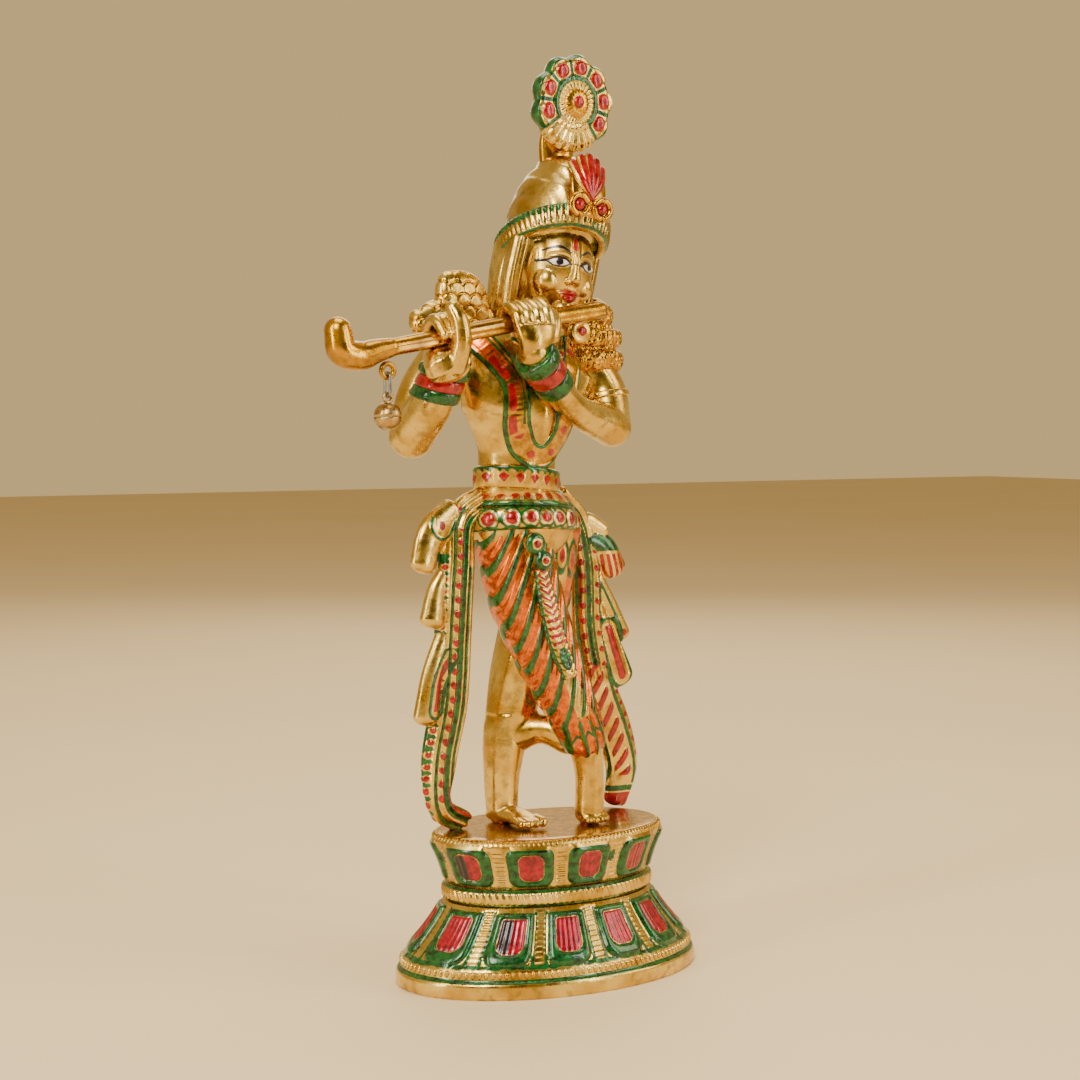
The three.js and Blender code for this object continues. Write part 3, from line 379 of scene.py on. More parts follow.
def castFinish(name, metal, rough=(0.2, 0.34), grain=0.9, cloud=17.0, coats=(), relief=0.35, metallic=1.0):
    # a cast and plated metal, with brushed enamel over the patches that a piece marks
    finish = bpy.data.materials.new(name)
    finish.use_nodes = True
    tree = finish.node_tree
    tree.nodes.clear()
    place = addNode(tree, "ShaderNodeTexCoord").outputs["Object"]
    broad = addNode(tree, "ShaderNodeTexNoise", {"Scale": 1000 / cloud, "Detail": 3.0, "Roughness": 0.6},
                    {"Vector": place})
    mottle = addNode(tree, "ShaderNodeTexNoise", {"Scale": 1000 / (cloud * 0.22), "Detail": 2.0},
                     {"Vector": place})
    fine = addNode(tree, "ShaderNodeTexNoise", {"Scale": 1000 / grain, "Detail": 2.0}, {"Vector": place})
    wide = addNode(tree, "ShaderNodeMapRange", {"From Min": 0.38, "From Max": 0.62},
                   {"Value": broad.outputs["Fac"]})
    spots = addNode(tree, "ShaderNodeMapRange", {"From Min": 0.52, "From Max": 0.72, "To Max": 0.7},
                    {"Value": mottle.outputs["Fac"]})
    colour = addNode(tree, "ShaderNodeMix", {"data_type": "RGBA", 6: toLinear(metal[0]), 7: toLinear(metal[1])},
                     {0: wide.outputs[0]}).outputs[2]
    colour = addNode(tree, "ShaderNodeMix", {"data_type": "RGBA", 7: toLinear(metal[2])},
                     {0: spots.outputs[0], 6: colour}).outputs[2]
    polish = addNode(tree, "ShaderNodeMapRange", {"From Min": 0.35, "From Max": 0.65, "To Min": rough[0],
                                                  "To Max": rough[1]},
                     {"Value": mottle.outputs["Fac"]}).outputs[0]
    shine = None
    wobble = addNode(tree, "ShaderNodeTexNoise", {"Scale": 1000 / 2.6, "Detail": 2.0}, {"Vector": place})
    strokes = addNode(tree, "ShaderNodeTexNoise", {"Scale": 1000 / 2.2, "Detail": 3.0, "Roughness": 0.65},
                      {"Vector": place})
    shade = addNode(tree, "ShaderNodeMapRange", {"From Min": 0.36, "From Max": 0.62},
                    {"Value": strokes.outputs["Fac"]})
    for coat in coats:
        paint = enamels[coat]
        mark = addNode(tree, "ShaderNodeAttribute", {"attribute_name": coat})
        # the brush wanders by about a quarter of a millimetre
        wander = addNode(tree, "ShaderNodeMath", {"operation": "MULTIPLY_ADD", 1: 0.5, 2: -0.25},
                         {0: wobble.outputs["Fac"]})
        edge = addNode(tree, "ShaderNodeMath", {"operation": "ADD"}, {0: mark.outputs["Fac"],
            1: wander.outputs[0]})
        cover = addNode(tree, "ShaderNodeMapRange", {"From Min": 0.92, "From Max": 1.08},
                        {"Value": edge.outputs[0]}).outputs[0]
        tone = addNode(tree, "ShaderNodeMix", {"data_type": "RGBA", 6: toLinear(paint["dark"]),
                                               7: toLinear(paint["light"])},
                       {0: shade.outputs[0]}).outputs[2]
        colour = addNode(tree, "ShaderNodeMix", {"data_type": "RGBA"}, {0: cover, 6: colour,
            7: tone}).outputs[2]
        level = addNode(tree, "ShaderNodeMix", {2: metallic, 3: paint["metal"]}, {0: cover})
        if shine is not None:
            tree.links.new(shine, level.inputs[2])
        shine = level.outputs[0]
        polish = addNode(tree, "ShaderNodeMix", {3: paint["rough"]}, {0: cover, 2: polish}).outputs[0]
    bump = addNode(tree, "ShaderNodeBump", {"Strength": relief, "Distance": 0.00008},
                   {"Height": fine.outputs["Fac"]})
    ripple = addNode(tree, "ShaderNodeBump", {"Strength": 0.25, "Distance": 0.0004},
                     {"Height": mottle.outputs["Fac"], "Normal": bump.outputs[0]})
    shader = addNode(tree, "ShaderNodeBsdfPrincipled",
                     {"Metallic": metallic, "Coat Weight": 0.35, "Coat Roughness": 0.05},
                     {"Base Color": colour, "Roughness": polish, "Normal": ripple.outputs[0]})
    if shine is not None:
        tree.links.new(shine, shader.inputs["Metallic"])
    addNode(tree, "ShaderNodeOutputMaterial", {}, {"Surface": shader.outputs[0]})
    return finish


allCoats = ("amberPaint", "orange", "pale", "red", "crimson", "green", "white", "inkAndPaintedShade")
# gold-plated cast aluminium under clear lacquer: warm mirror highlights with amber where the lacquer pools
giltCasting = castFinish("giltCastAluminium", ("#C79C30", "#EBCB68", "#95701A"), coats=allCoats)
# the same casting under a thick amber lacquer: deeper and browner
amberCasting = castFinish("amberLacqueredAluminium", ("#A4740A", "#D8A01A", "#7A5006"), coats=("red", "green",
    "pale"))
# hair and crown: the gilt in darker colours, as painted shade
shadedHairCasting = castFinish("shadedGiltAluminium", ("#B08A2E", "#E2C468", "#7E5C1A"), coats=("red", "green",
    "amberPaint", "pale"))
# stamped brass sheet, slightly tarnished
stampedBrass = castFinish("stampedBrass", ("#8E6A34", "#C9A667", "#6E4E22"), rough=(0.24, 0.42), cloud=6,
                          grain=0.4)
# drawn steel wire and plated screws
drawnSteel = castFinish("drawnSteel", ("#77736C", "#A9A49B", "#5E5A54"), rough=(0.28, 0.42), cloud=5, grain=0.3)
print("finishes made")


pedestal = dict(width=108.0, depth=70.0, neckWidth=72.0, deckWidth=83.0, footRim=4.6, lowerHeight=26.5,
                neckHeight=5.4,
                upperHeight=16.5, wall=3.4, lowerPetals=12, upperPetals=10, steps=480, beads=128, deckBeads=132)
ovalRatio = pedestal["depth"] / pedestal["width"]
halfFoot, halfNeck, halfDeck = (pedestal[key] / 2 for key in ("width", "neckWidth", "deckWidth"))
neckBase = pedestal["lowerHeight"] + jointGap
upperBase = neckBase + pedestal["neckHeight"] + jointGap
deckHeight = upperBase + pedestal["upperHeight"]

# share of the way round an oval, by arc length, for an angle of its circle
ovalAngles = np.linspace(-math.pi, math.pi, 721)
ovalSteps = np.hypot(np.sin(ovalAngles), ovalRatio * np.cos(ovalAngles))
ovalShares = np.concatenate([[0], np.cumsum((ovalSteps[1:] + ovalSteps[:-1]) / 2)])
ovalShares = ovalShares / ovalShares[-1]
ovalGirth = 2 * math.pi * np.mean(ovalSteps[:-1])  # of an oval of unit half width


def addOval(bm, profile, steps):
    # a closed profile of (radius, height) spun about Z and squeezed to the oval plan
    verts = [bm.verts.new((radius, 0, height)) for radius, height in profile]
    edges = [bm.edges.new(pair) for pair in zip(verts, verts[1:] + verts[:1])]
    bmesh.ops.spin(bm, geom=verts + edges, cent=(0, 0, 0), axis=(0, 0, 1), dvec=(0, 0, 0), angle=2 * math.pi,
                   steps=steps, use_merge=True, use_normal_flip=False, use_duplicate=False)
    bmesh.ops.remove_doubles(bm, verts=bm.verts, dist=0.001)
    bmesh.ops.scale(bm, vec=(1, ovalRatio, 1), verts=bm.verts)
    bmesh.ops.recalc_face_normals(bm, faces=bm.faces)


def denser(points, spacing):
    # the same outline with a point about every spacing millimetres
    points = np.array(points, float)
    parts = [np.linspace(a, b, max(1, int(np.ceil(np.linalg.norm(b - a) / spacing))) + 1)[:-1]
             for a, b in zip(points[:-1], points[1:])]
    return [tuple(p) for p in np.vstack(parts + [points[-1:]])]


def bowed(start, end, hollow, steps=24):
    # a wall between two (radius, height) ends, hollowed towards the axis
    start, end = np.array(start), np.array(end)
    middle = (start + end) / 2 - np.array([hollow, 0])
    t = np.linspace(0, 1, steps + 1)[:, None]
    return [tuple(p) for p in (1 - t) ** 2 * start + 2 * t * (1 - t) * middle + t ** 2 * end]


def petalPlace(skin, count):
    # millimetres sideways from the nearest petal's middle, and which petal it is
    angle = np.arctan2(skin.y / ovalRatio, skin.x)
    share = (np.interp(angle, ovalAngles, ovalShares) - 0.5) % 1  # from the +X side
    radius = np.hypot(skin.x, skin.y / ovalRatio)
    pitch = ovalGirth * radius / count
    return ((share * count) % 1 - 0.5) * pitch, np.floor(share * count), pitch, share


lowerWallFoot, lowerWallHead = (halfFoot - 4, 10.0), (halfNeck + 1.6, pedestal["lowerHeight"] - 1.4)
upperWallFoot, upperWallHead = (halfNeck + 0.4, upperBase + 1.4), (halfDeck - 0.4, deckHeight - 3.4)


def petalRelief(skin, count, low, high, halfWide, halfTall, middle, heart):
    # a petal's raised dome, its green outline, its fluted heart, and ladder ribs between petals
    sideways, number, pitch = petalPlace(skin, count)[:3]
    outward = (skin.x * skin.nx + skin.y * skin.ny / ovalRatio) > 0
    onWall = outward & (skin.z > low) & (skin.z < high)
    sideways = sideways * (2 * halfWide + 5) / np.maximum(pitch, 1)  # petals narrow with the wall
    rise = skin.z - middle
    outline = plate(sideways, rise, halfWide, halfTall, heart["low"], heart["high"])
    centre = plate(sideways, rise - heart["lift"], heart["wide"], heart["tall"], heart["low"] * 0.75,
                   heart["high"] * 0.75)
    rim = np.minimum(outline, -centre - 0.25)
    lift = np.where(onWall, 0.9 * swell(outline, 2.6) + 0.55 * swell(rim, 1.1), 0)
    lift += np.where(onWall & (centre > 0), 0.35 * swell(centre,
                                                         1.2) + 0.14 * np.cos(sideways * 2 * math.pi / 1.7), 0)
    ribs = onWall & (outline < -0.4)
    column = np.abs(np.abs(sideways) - (halfWide + 2.5))
    lift += np.where(ribs & (column < 1.5), 0.3 * (0.5 + 0.5 * np.cos(skin.z * 2 * math.pi / 1.5)), 0)
    lift += np.where(ribs, 0.35 * np.exp(-((column - 2.0) / 0.35) ** 2), 0)
    skin.paint("green", np.where(onWall, rim + 0.15, -1))
    skin.paint("crimson", np.where(onWall, centre, -1))
    return lift, sideways, number, column, onWall, ribs, centre


bm = startMesh()
wall = pedestal["wall"]
outer = [(halfFoot - wall, 0), (halfFoot - 0.6, 0), (halfFoot, 0.7), (halfFoot + 0.1, 2.4),
         (halfFoot, pedestal["footRim"]),
         (halfFoot - 0.7, pedestal["footRim"] + 0.9), (halfFoot - 1.6, pedestal["footRim"] + 1.2),
         (halfFoot - 2, lowerWallFoot[1] - 1)]
profile = denser(outer, 0.8) + denser(bowed(lowerWallFoot, lowerWallHead, 1.6), 0.45)
profile += [(lowerWallHead[0], pedestal["lowerHeight"]), (lowerWallHead[0] - wall, pedestal["lowerHeight"])]
profile += bowed((lowerWallHead[0] - wall, lowerWallHead[1]), (lowerWallFoot[0] - wall, lowerWallFoot[1]),
                 1.6, 6)
profile += [(halfFoot - wall, pedestal["footRim"])]
addOval(bm, profile, pedestal["steps"])
skin = Skin(bm)
lift, sideways, number, column, onWall, ribs, centre = petalRelief(
    skin, pedestal["lowerPetals"], 9.4, 26.2, 7.0, 7.6, 17.4, dict(wide=4.3, tall=5.0, low=3.9, high=1.1,
                                                                   lift=0.7))
outward = (skin.x * skin.nx + skin.y * skin.ny) > 0
skin.paint("green", np.where(ribs, 0.55 - np.abs(column - 2.0), -1))
for low in (5.7, 9.7):
    skin.paint("green", np.where(outward, 0.62 - np.abs(skin.z - low), -1))
# near-black on one half of the heart of a few lower petals: painted shade
skin.paint("inkAndPaintedShade", np.where(onWall & (centre > 0) & (number % 5 == 2), centre - 0.2 - 9 * (sideways > 0),
                           -1) * 0.9)
skin.raiseBy(lift)
makePiece(skin, "lowerTier", pedestalFrame, giltCasting, ("pedestal_lower_tier",))

bm = startMesh()
profile = denser([(halfNeck - wall, neckBase), (halfNeck + 0.4, neckBase), (halfNeck + 1.8, neckBase + 1.2),
                  (halfNeck + 2.0, neckBase + 2.7), (halfNeck + 1.8, upperBase - jointGap - 1.2),
                  (halfNeck + 0.4, upperBase - jointGap), (halfNeck - wall, upperBase - jointGap)], 0.35)
addOval(bm, profile, pedestal["steps"])
skin = Skin(bm)
outward = (skin.x * skin.nx + skin.y * skin.ny) > 0
share = petalPlace(skin, 1)[3]
slant = np.cos((share * 92 + (skin.z - neckBase) * 0.16) * 2 * math.pi)
middle = np.abs(skin.z - neckBase - pedestal["neckHeight"] / 2)
skin.paint("green", np.where(outward, 0.5 - np.abs(middle - 2.3), -1))
skin.raiseBy(np.where(outward & (middle < 1.8), 0.22 * slant, 0))
makePiece(skin, "neckRope", pedestalFrame, giltCasting, ("pedestal_neck_band",))

bm = startMesh()
rim = [(0, deckHeight), (halfDeck - 5, deckHeight), (halfDeck - 2.2, deckHeight - 0.2), (halfDeck - 0.8,
    deckHeight - 1.0),
       (halfDeck, deckHeight - 2.4)]
profile = denser(rim, 0.9) + denser(bowed(upperWallHead, upperWallFoot, 1.0), 0.4)
profile += [(upperWallFoot[0], upperBase), (upperWallFoot[0] - wall, upperBase),
            (upperWallHead[0] - wall, deckHeight - wall - 1.5), (0, deckHeight - wall)]
addOval(bm, profile, pedestal["steps"])
skin = Skin(bm)
lift, sideways, number, column, onWall, ribs, centre = petalRelief(
    skin, pedestal["upperPetals"], upperBase + 0.2, deckHeight - 3.0, 7.2, 6.6, upperBase + 7.2,
    dict(wide=3.8, tall=4.4, low=3.4, high=3.2, lift=0.2))
# near-black on one half of the heart of a few upper petals: painted shade
skin.paint("inkAndPaintedShade", np.where(onWall & (number % 4 == 1), centre - 0.2 - 9 * (sideways > 0), -1) * 0.9)
skin.paint("green", np.where(onWall & (number % 3 == 1), oval(repeat(sideways, 99, 8.6),
                                                              skin.z - upperBase - 9, 1.2, 2.0), -1))
skin.paint("amberPaint", np.where(skin.nz > 0.75, 1, -1))
skin.raiseBy(lift)
makePiece(skin, "upperTier", pedestalFrame, giltCasting, ("pedestal_upper_tier",))


def addBeads(bm, count, radius, height, size, lean):
    # small upright beads, evenly round an oval
    for n in range(count):
        angle = float(np.interp((n + 0.5) / count, ovalShares, ovalAngles))
        place = (radius * math.cos(angle), radius * ovalRatio * math.sin(angle), height)
        spin = Matrix.Rotation(math.atan2(math.sin(angle), ovalRatio * math.cos(angle)), 4,
                               "Z") @ Matrix.Rotation(-lean, 4, "Y")
        addDrop(bm, place, size, spin, sides=8, rings=6)


bm = startMesh()
addBeads(bm, pedestal["beads"], halfFoot - 1.9, 7.7, (0.75, 0.78, 1.25), 0.1)
makePiece(bm, "footBeads", pedestalFrame, giltCasting)
bm = startMesh()
addBeads(bm, pedestal["deckBeads"], halfDeck - 1.1, deckHeight - 1.3, (0.6, 0.6, 1.2), 0.85)
makePiece(bm, "deckBeads", pedestalFrame, giltCasting)
print("pedestal made")


torso = dict(stations=[(-11.5, 1, 110, 13.4, 10.4), (-11.5, 0.6, 122, 13.4, 10.4), (-10.4, -0.2, 136, 21.6,
    13.2),
                       (-8, 0.8, 151, 25.4, 11.8), (-5, 1.4, 160, 14, 8.6)],
             neck=[(-4, 0.6, 158, 8, 7.2), (-2, -0.6, 172, 7, 7)], relief=1.6)
bm = startMesh()
addLimb(bm, torso["stations"], sides=80, steps=90)
torsoTree = treeOf(bm.copy())
skin = Skin(bm)
front = skin.ny < 0
# soft chest, ribs and a navel
lift = np.where(front, 0.9 * np.exp(-((skin.x + 19) / 9) ** 2 - ((skin.z - 147) / 7) ** 2), 0)
lift += np.where(front, 0.9 * np.exp(-((skin.x - 3) / 9) ** 2 - ((skin.z - 147) / 7) ** 2), 0)
lift -= np.where(front, 0.9 * np.exp(-((skin.x + 12) / 1.4) ** 2 - ((skin.z - 117.6) / 1.2) ** 2), 0)
lift -= 0.35 * np.exp(-(nearPath([(-31, 137), (-27, 134.4), (-24, 133.4)], skin.x, skin.z) / 0.6) ** 2)
lift -= np.where(skin.ny > 0, 1.1 * np.exp(-((skin.x + 9) / 2.4) ** 2), 0)  # the hollow of the back
skin.raiseBy(lift)
makePiece(skin, "torsoCasting", figureFrame, giltCasting, ("torso",))
bm = startMesh()
addLimb(bm, torso["neck"], sides=40, steps=16)
makePiece(bm, "neckCasting", figureFrame, giltCasting, ("neck",))

garland = dict(course=[(-29, 158.5), (-20, 145), (-18.6, 131), (-13.8, 122.4), (-8, 121.4), (-2.8, 127),
                       (-0.6, 141), (5, 158)], half=4.2)
bm = startMesh()
addRibbon(bm, torsoTree, garland["course"], garland["half"], torso["relief"], sides=44, steps=200)
skin = Skin(bm)
edge = np.abs(skin.across)
skin.paint("amberPaint", np.full(len(skin.x), 0.9))
skin.paint("orange", np.where(skin.along < 14, 0.4, -1))
skin.paint("green", 0.62 - np.abs(edge - 3.5))
skin.paint("green", np.where(skin.along < 30, 0.4 - np.abs(skin.across - 2.0), -1))
dash = np.where((skin.along > 6) & (skin.along < 32), plate(repeat(skin.along, 10.5), skin.across + 1.4, 4.6,
                                                            1.15, 0.9, 0.9), -1)
dots = np.where((skin.along > 33) & (skin.along < 84), 1.45 - np.hypot(repeat(skin.along, 8.2), skin.across),
                -1)
skin.paint("red", np.maximum(dash, dots))
beads = np.where(skin.along < 30, 0.25 * np.cos(skin.along * 2 * math.pi / 1.6) * (np.abs(skin.across
    - 0.6) < 0.7), 0)
skin.raiseBy(0.28 * swell(np.maximum(dash, dots), 1) + 0.3 * swell(0.8 - np.abs(edge - 3.5), 0.8) + beads)
makePiece(skin, "longGarland", figureFrame, giltCasting, ("long_garland",))

bm = startMesh()
addRibbon(bm, torsoTree, [(-17, 159.5), (-11, 155.5), (-4, 153.6), (3, 155), (9, 158.6)], 2.5, 1.5, sides=28,
          steps=90)
skin = Skin(bm)
skin.paint("green", 0.45 - np.abs(np.abs(skin.across) - 1.8))
skin.paint("red", plate(repeat(skin.along, 3.4), skin.across, 1.2, 1.0, 0.8, 0.8))
skin.raiseBy(0.3 * swell(plate(repeat(skin.along, 3.4), skin.across, 1.2, 1.0, 0.8, 0.8), 0.8))
makePiece(skin, "collarNecklace", figureFrame, giltCasting, ("collar_necklace",))

bm = startMesh()
addBand(bm, torsoTree, (-12, 0, 113.2), (0.1, 0.12, 1), 3.8, 1.6)
skin = Skin(bm)
lozenge = 1.7 - np.abs(repeat(skin.along, 5.2)) * 0.8 - np.abs(skin.across + 0.4)
zigzag = np.abs(np.abs(repeat(skin.along, 5.2)) * 0.8 + skin.across - 2.6)
skin.paint("red", lozenge)
skin.paint("green", 0.45 - np.abs(skin.across - 2.7))
skin.paint("green", np.where(np.abs(skin.across) < 2.6, 0.42 - zigzag, -1))
skin.raiseBy(0.35 * swell(lozenge, 1) + 0.3 * swell(0.6 - np.abs(skin.across - 2.7), 0.6))
makePiece(skin, "waistSash", figureFrame, giltCasting, ("waist_sash",))
print("torso made")


hips = dict(centre=(-9.4, 1, 99), half=(18, 13, 14))
bm = startMesh()
addDrop(bm, hips["centre"], hips["half"], sides=72, rings=48)
hipTree = treeOf(bm.copy())
makePiece(bm, "hipCasting", figureFrame, giltCasting, ("hips",))

bm = startMesh()
addBand(bm, hipTree, (-10, 0, 107.4), (0.06, 0.12, 1), 3.5, 1.9)
skin = Skin(bm)
dots = 1.15 - np.hypot(repeat(skin.along, 4.3), skin.across * 0.9)
skin.paint("pale", np.where(np.abs(skin.across) < 1.6, 0.25 - np.abs(np.abs(repeat(skin.along, 4.3)) - 1.8),
                            -1))
skin.paint("green", 0.42 - np.abs(np.abs(np.abs(skin.across) - 2.5) - 0.55))
skin.paint("red", dots)
skin.raiseBy(0.4 * swell(dots, 0.9) + 0.3 * swell(1.0 - np.abs(np.abs(skin.across) - 2.5), 0.9))
makePiece(skin, "upperGirdle", figureFrame, giltCasting, ("upper_girdle",))

bm = startMesh()
addBand(bm, hipTree, (-9, 0, 99.8), (0.03, 0.16, 1), 3.9, 1.9, rings=36)
skin = Skin(bm)
cell = repeat(skin.along, 6.1)
wide = 1.8 - 0.35 * np.cos(skin.along * 0.9)
ovals = oval(cell, skin.across + 0.2, wide, wide + 0.1)
skin.paint("pale", 0.3 - np.abs(ovals + 0.4))
skin.paint("green", np.where(skin.face > 0, 0.34 - np.abs(ovals + 1.2), -1))
skin.paint("green", 0.45 - np.abs(skin.across - 3.3))
skin.paint("green", 0.5 - np.abs(skin.across + 3.3 - 0.5 * np.cos(skin.along * 2 * math.pi / 6.1)))
skin.paint("red", ovals)
skin.raiseBy(0.55 * swell(ovals, 1.3) + 0.25 * swell(ovals + 0.8, 0.6))
makePiece(skin, "lowerGirdle", figureFrame, giltCasting, ("lower_girdle",))
print("hips made")


frontLeg = dict(stations=[(-13.8, 1.4, 99, 12.4, 11.8), (-10, -1.8, 76, 12, 11.4), (-3.8, -5, 57, 10.4, 10),
                          (3.2, -8, 40, 8.6, 8.4), (8, -9.4, 28.5, 7, 6.8)], pitch=9.0, slope=1.9)
bm = startMesh()
addLimb(bm, frontLeg["stations"], sides=120, steps=180)
skin = Skin(bm)
# diagonal ridges that climb to the figure's left
course = skin.along + skin.across * frontLeg["slope"] * np.where(skin.face >= 0, 1, -1)
ridge = np.abs(repeat(course, frontLeg["pitch"])) / math.hypot(1, frontLeg["slope"])
middle = np.abs(repeat(course, frontLeg["pitch"], frontLeg["pitch"] / 2)) / math.hypot(1, frontLeg["slope"])
# near the hem the stripes turn upright and end in scallops
hem = np.clip((skin.along - 65) / 4, 0, 1)
upright = np.abs(repeat(skin.across * np.where(skin.face >= 0, 1, -1), 3.4))
scallop = np.abs(skin.along - 73 - 0.9 * np.cos(skin.across * 2 * math.pi / 3.4))
lines = (0.72 - ridge) * (1 - hem) + (0.5 - upright) * hem
# a strip down the front of the leg is left bare gilt as a painted highlight, with orange round it
paintedHighlightStrip = np.where((skin.face > 0) & (hem < 0.5), 2.4 - np.abs(skin.across + 1.0), -1)
skin.paint("orange", np.minimum(-paintedHighlightStrip, 0.9))
skin.paint("green", lines)
skin.paint("green", 0.6 - scallop)
skin.raiseBy(0.8 * swell(lines + 0.3, 1.2) + 0.35 * np.exp(-(middle / 1.0) ** 2) * (1 - hem)
             - 0.35 * np.exp(-((ridge - 1.4) / 0.35) ** 2) * (1 - hem))
makePiece(skin, "stripedLegCloth", figureFrame, giltCasting, ("front_leg_cloth",))

bm = startMesh()
addLimb(bm, [(2, 4, 98, 12, 11), (-1, 6, 72, 11, 10.4), (-6, 8.6, 48, 9.6, 9.4), (-11, 9.2, 29, 7.3, 7.3)],
        part=0, cap=0.4)
addLimb(bm, [(-9, 7.8, 29.2, 7.2, 6.8), (-1, 2, 31, 5.2, 5.8), (5.4, -4.4, 28.4, 6, 5.8)], sides=32, steps=20,
        across=(0, 0, 1),
        part=1)
bm = weld(bm, 0.5, 9, carry=False)
skin = Skin(bm)
# the hip's side is orange, with leaves falling from the girdle
panel = np.minimum(skin.x - 3.5 - 0.12 * (skin.z - 76), skin.z - 58 - 0.4 * (12 - skin.x))
skin.paint("orange", np.minimum(panel, 0.8))
leaves = np.full(len(skin.x), -9.0)
for x, z in ((8.5, 88.5), (11.6, 80.5), (9.4, 72.5), (11.4, 65)):
    leaf = oval((skin.x - x) + 0.35 * (skin.z - z), skin.z - z, 1.3, 3.4)
    leaves = np.maximum(leaves, np.where(skin.ny < 0.3, leaf, -9))
skin.paint("green", leaves)
# two long leaf pendants hang beside the knot
for x, z in ((1.6, 89), (6.2, 87.4)):
    pendant = np.where(skin.ny < 0, oval(skin.x - x, skin.z - z, 2.0, 5.6), -9)
    heart = np.where(skin.ny < 0, oval(skin.x - x, skin.z - z + 0.6, 0.9, 2.6), -9)
    skin.paint("green", 0.4 - np.abs(pendant))
    skin.paint("red", heart)
    leaves = np.maximum(leaves, pendant)
skin.raiseBy(0.35 * swell(leaves,
                          1) + 0.3 * np.cos((skin.x * 0.9 - skin.z * 0.25)) * (panel < 0) * (skin.z > 36))
makePiece(skin, "rearLegCloth", figureFrame, giltCasting, ("rear_leg_cloth",))

sash = dict(stations=[(-11.6, -14.6, 84, 2.4, 1.4), (-9.6, -15.4, 74, 3.2, 1.6), (-6.6, -16, 62, 3.4, 1.7),
                      (-2.4, -16.8, 51, 2.8, 1.5)])
bm = startMesh()
addLimb(bm, sash["stations"], sides=48, steps=110)
skin = Skin(bm)
scales = repeat(skin.along + np.abs(skin.across) * 0.9, 2.3)
skin.paint("crimson", np.where((skin.along < 14) & (np.abs(skin.across) < 2.5), 0.5 - np.abs(scales), -1))
skin.paint("red", np.where((skin.along >= 14) & (skin.along < 24) & (np.abs(skin.across) < 2.6),
                           0.6 - np.abs(repeat(skin.along, 2.6)), -1))
skin.paint("green", np.where(skin.along >= 24, oval(skin.across, skin.along - 29, 2.0, 4.0), -1))
skin.paint("green", 0.5 - np.abs(np.abs(skin.side) - 0.97) * 3)
skin.raiseBy(0.3 * swell(0.7 - np.abs(scales), 0.7))
makePiece(skin, "frontSash", figureFrame, giltCasting, ("front_sash",))

knot = dict(rings=[((-14.4, -14.6, 93.4), 3.6), ((-11.6, -15.2, 88), 3.1)],
            drops=[((-8.6, -15.0, 90.6), 2.0), ((-16.2, -13.6, 86.4), 1.6)])
bm = startMesh()
for centre, radius in knot["rings"]:
    addDrop(bm, centre, (radius, 2.4, radius), sides=40, rings=28)
skin = Skin(bm)
for (x, y, z), radius in knot["rings"]:
    away = np.hypot(skin.x - x, skin.z - z)
    skin.paint("green", np.where(skin.ny < 0, 0.8 - np.abs(away - radius * 0.72), -1))
    skin.paint("red", np.where(skin.ny < 0, radius * 0.36 - away, -1))
    skin.raiseBy(np.where(skin.ny < 0, 0.5 * swell(1.0 - np.abs(away - radius * 0.72),
                                                   1) + 0.4 * swell(radius * 0.36 - away, 1), 0))
makePiece(skin, "girdleKnot", figureFrame, giltCasting, ("girdle_knot",))


def addFoot(bm, ankle, heel, toeRow, part):
    addLimb(bm, ankle, sides=32, steps=24, part=part)
    addLimb(bm, heel, sides=32, steps=20, part=part)
    for x, y, z, radius in toeRow:
        addLimb(bm, [(x, y + 4, z + 0.6, radius * 0.9), (x, y, z, radius)], sides=16, steps=6, part=part)


bm = startMesh()
addFoot(bm, [(-13, 8, 4, 5.2, 5.4), (-12.8, 8.4, 15, 6, 6), (-11.6, 9, 25, 7.1, 7.1), (-11, 9.2, 31, 7.2, 7.2)],
        [(-13.6, 10.6, 2.6, 4.2, 2.8), (-12, 2, 3, 4.6, 2.8), (-10.6, -4.2, 1.9, 4.8, 1.9)],
        [(-14.6, -7.4, 1.6, 1.4), (-12.3, -8.4, 1.6, 1.4), (-10.1, -8.8, 1.6, 1.45), (-7.3, -8.4, 1.9, 1.8)], 0)
bm = weld(bm, 0.4, 3, carry=False)
makePiece(bm, "standingLeg", figureFrame, giltCasting, ("standing_leg",))
bm = startMesh()
addFoot(bm, [(11, -8.2, 3.4, 5, 4.6), (11, -8.4, 15, 4.8, 4.8), (9, -9, 27, 5.8, 5.8)],
        [(11, -7.6, 6, 4.6, 3), (11.6, -10.6, 2.4, 5, 2.2)],
        [(8.2, -12.2, 1.4, 1.2), (10.4, -12.8, 1.4, 1.2), (12.6, -12.8, 1.5, 1.3), (15, -12, 1.6, 1.5)], 0)
bm = weld(bm, 0.4, 3, carry=False)
makePiece(bm, "crossedLeg", figureFrame, giltCasting, ("crossed_leg",))
print("legs made")


deckHalf = pedestal["deckWidth"] / 2
rightStreamer = dict(
    ribbon=[(-24, 1, 107, 5, 2.6), (-33, 0, 101, 5.6, 2.8), (-35, -0.6, 86, 6.2, 2.8), (-36, 0, 64, 6.4, 2.6),
            (-37, 1, 42, 6.6, 2.6), (-40, 2.4, 22, 6, 2.6), (-39, 3, 8, 4.6, 2.6),
            (-0.72 * deckHalf, 0.2 * deckHalf * ovalRatio, 2.2, 4.4, 2.2)],
    folds=[[(-36, 0, 104, 4.4, 2.4), (-44, -1, 97, 5.2, 2.8), (-47.6, -1.4, 87, 4.6, 2.8)],
           [(-38, 0, 86, 2.4, 2), (-42, -0.4, 79, 3.2, 2.4), (-43.6, -0.6, 69.4, 4.6, 3)],
           [(-39, 0, 66, 2.6, 2), (-43.6, 0, 52, 3.6, 2.4), (-45.6, 0.4, 38, 4.6, 2.8)]])
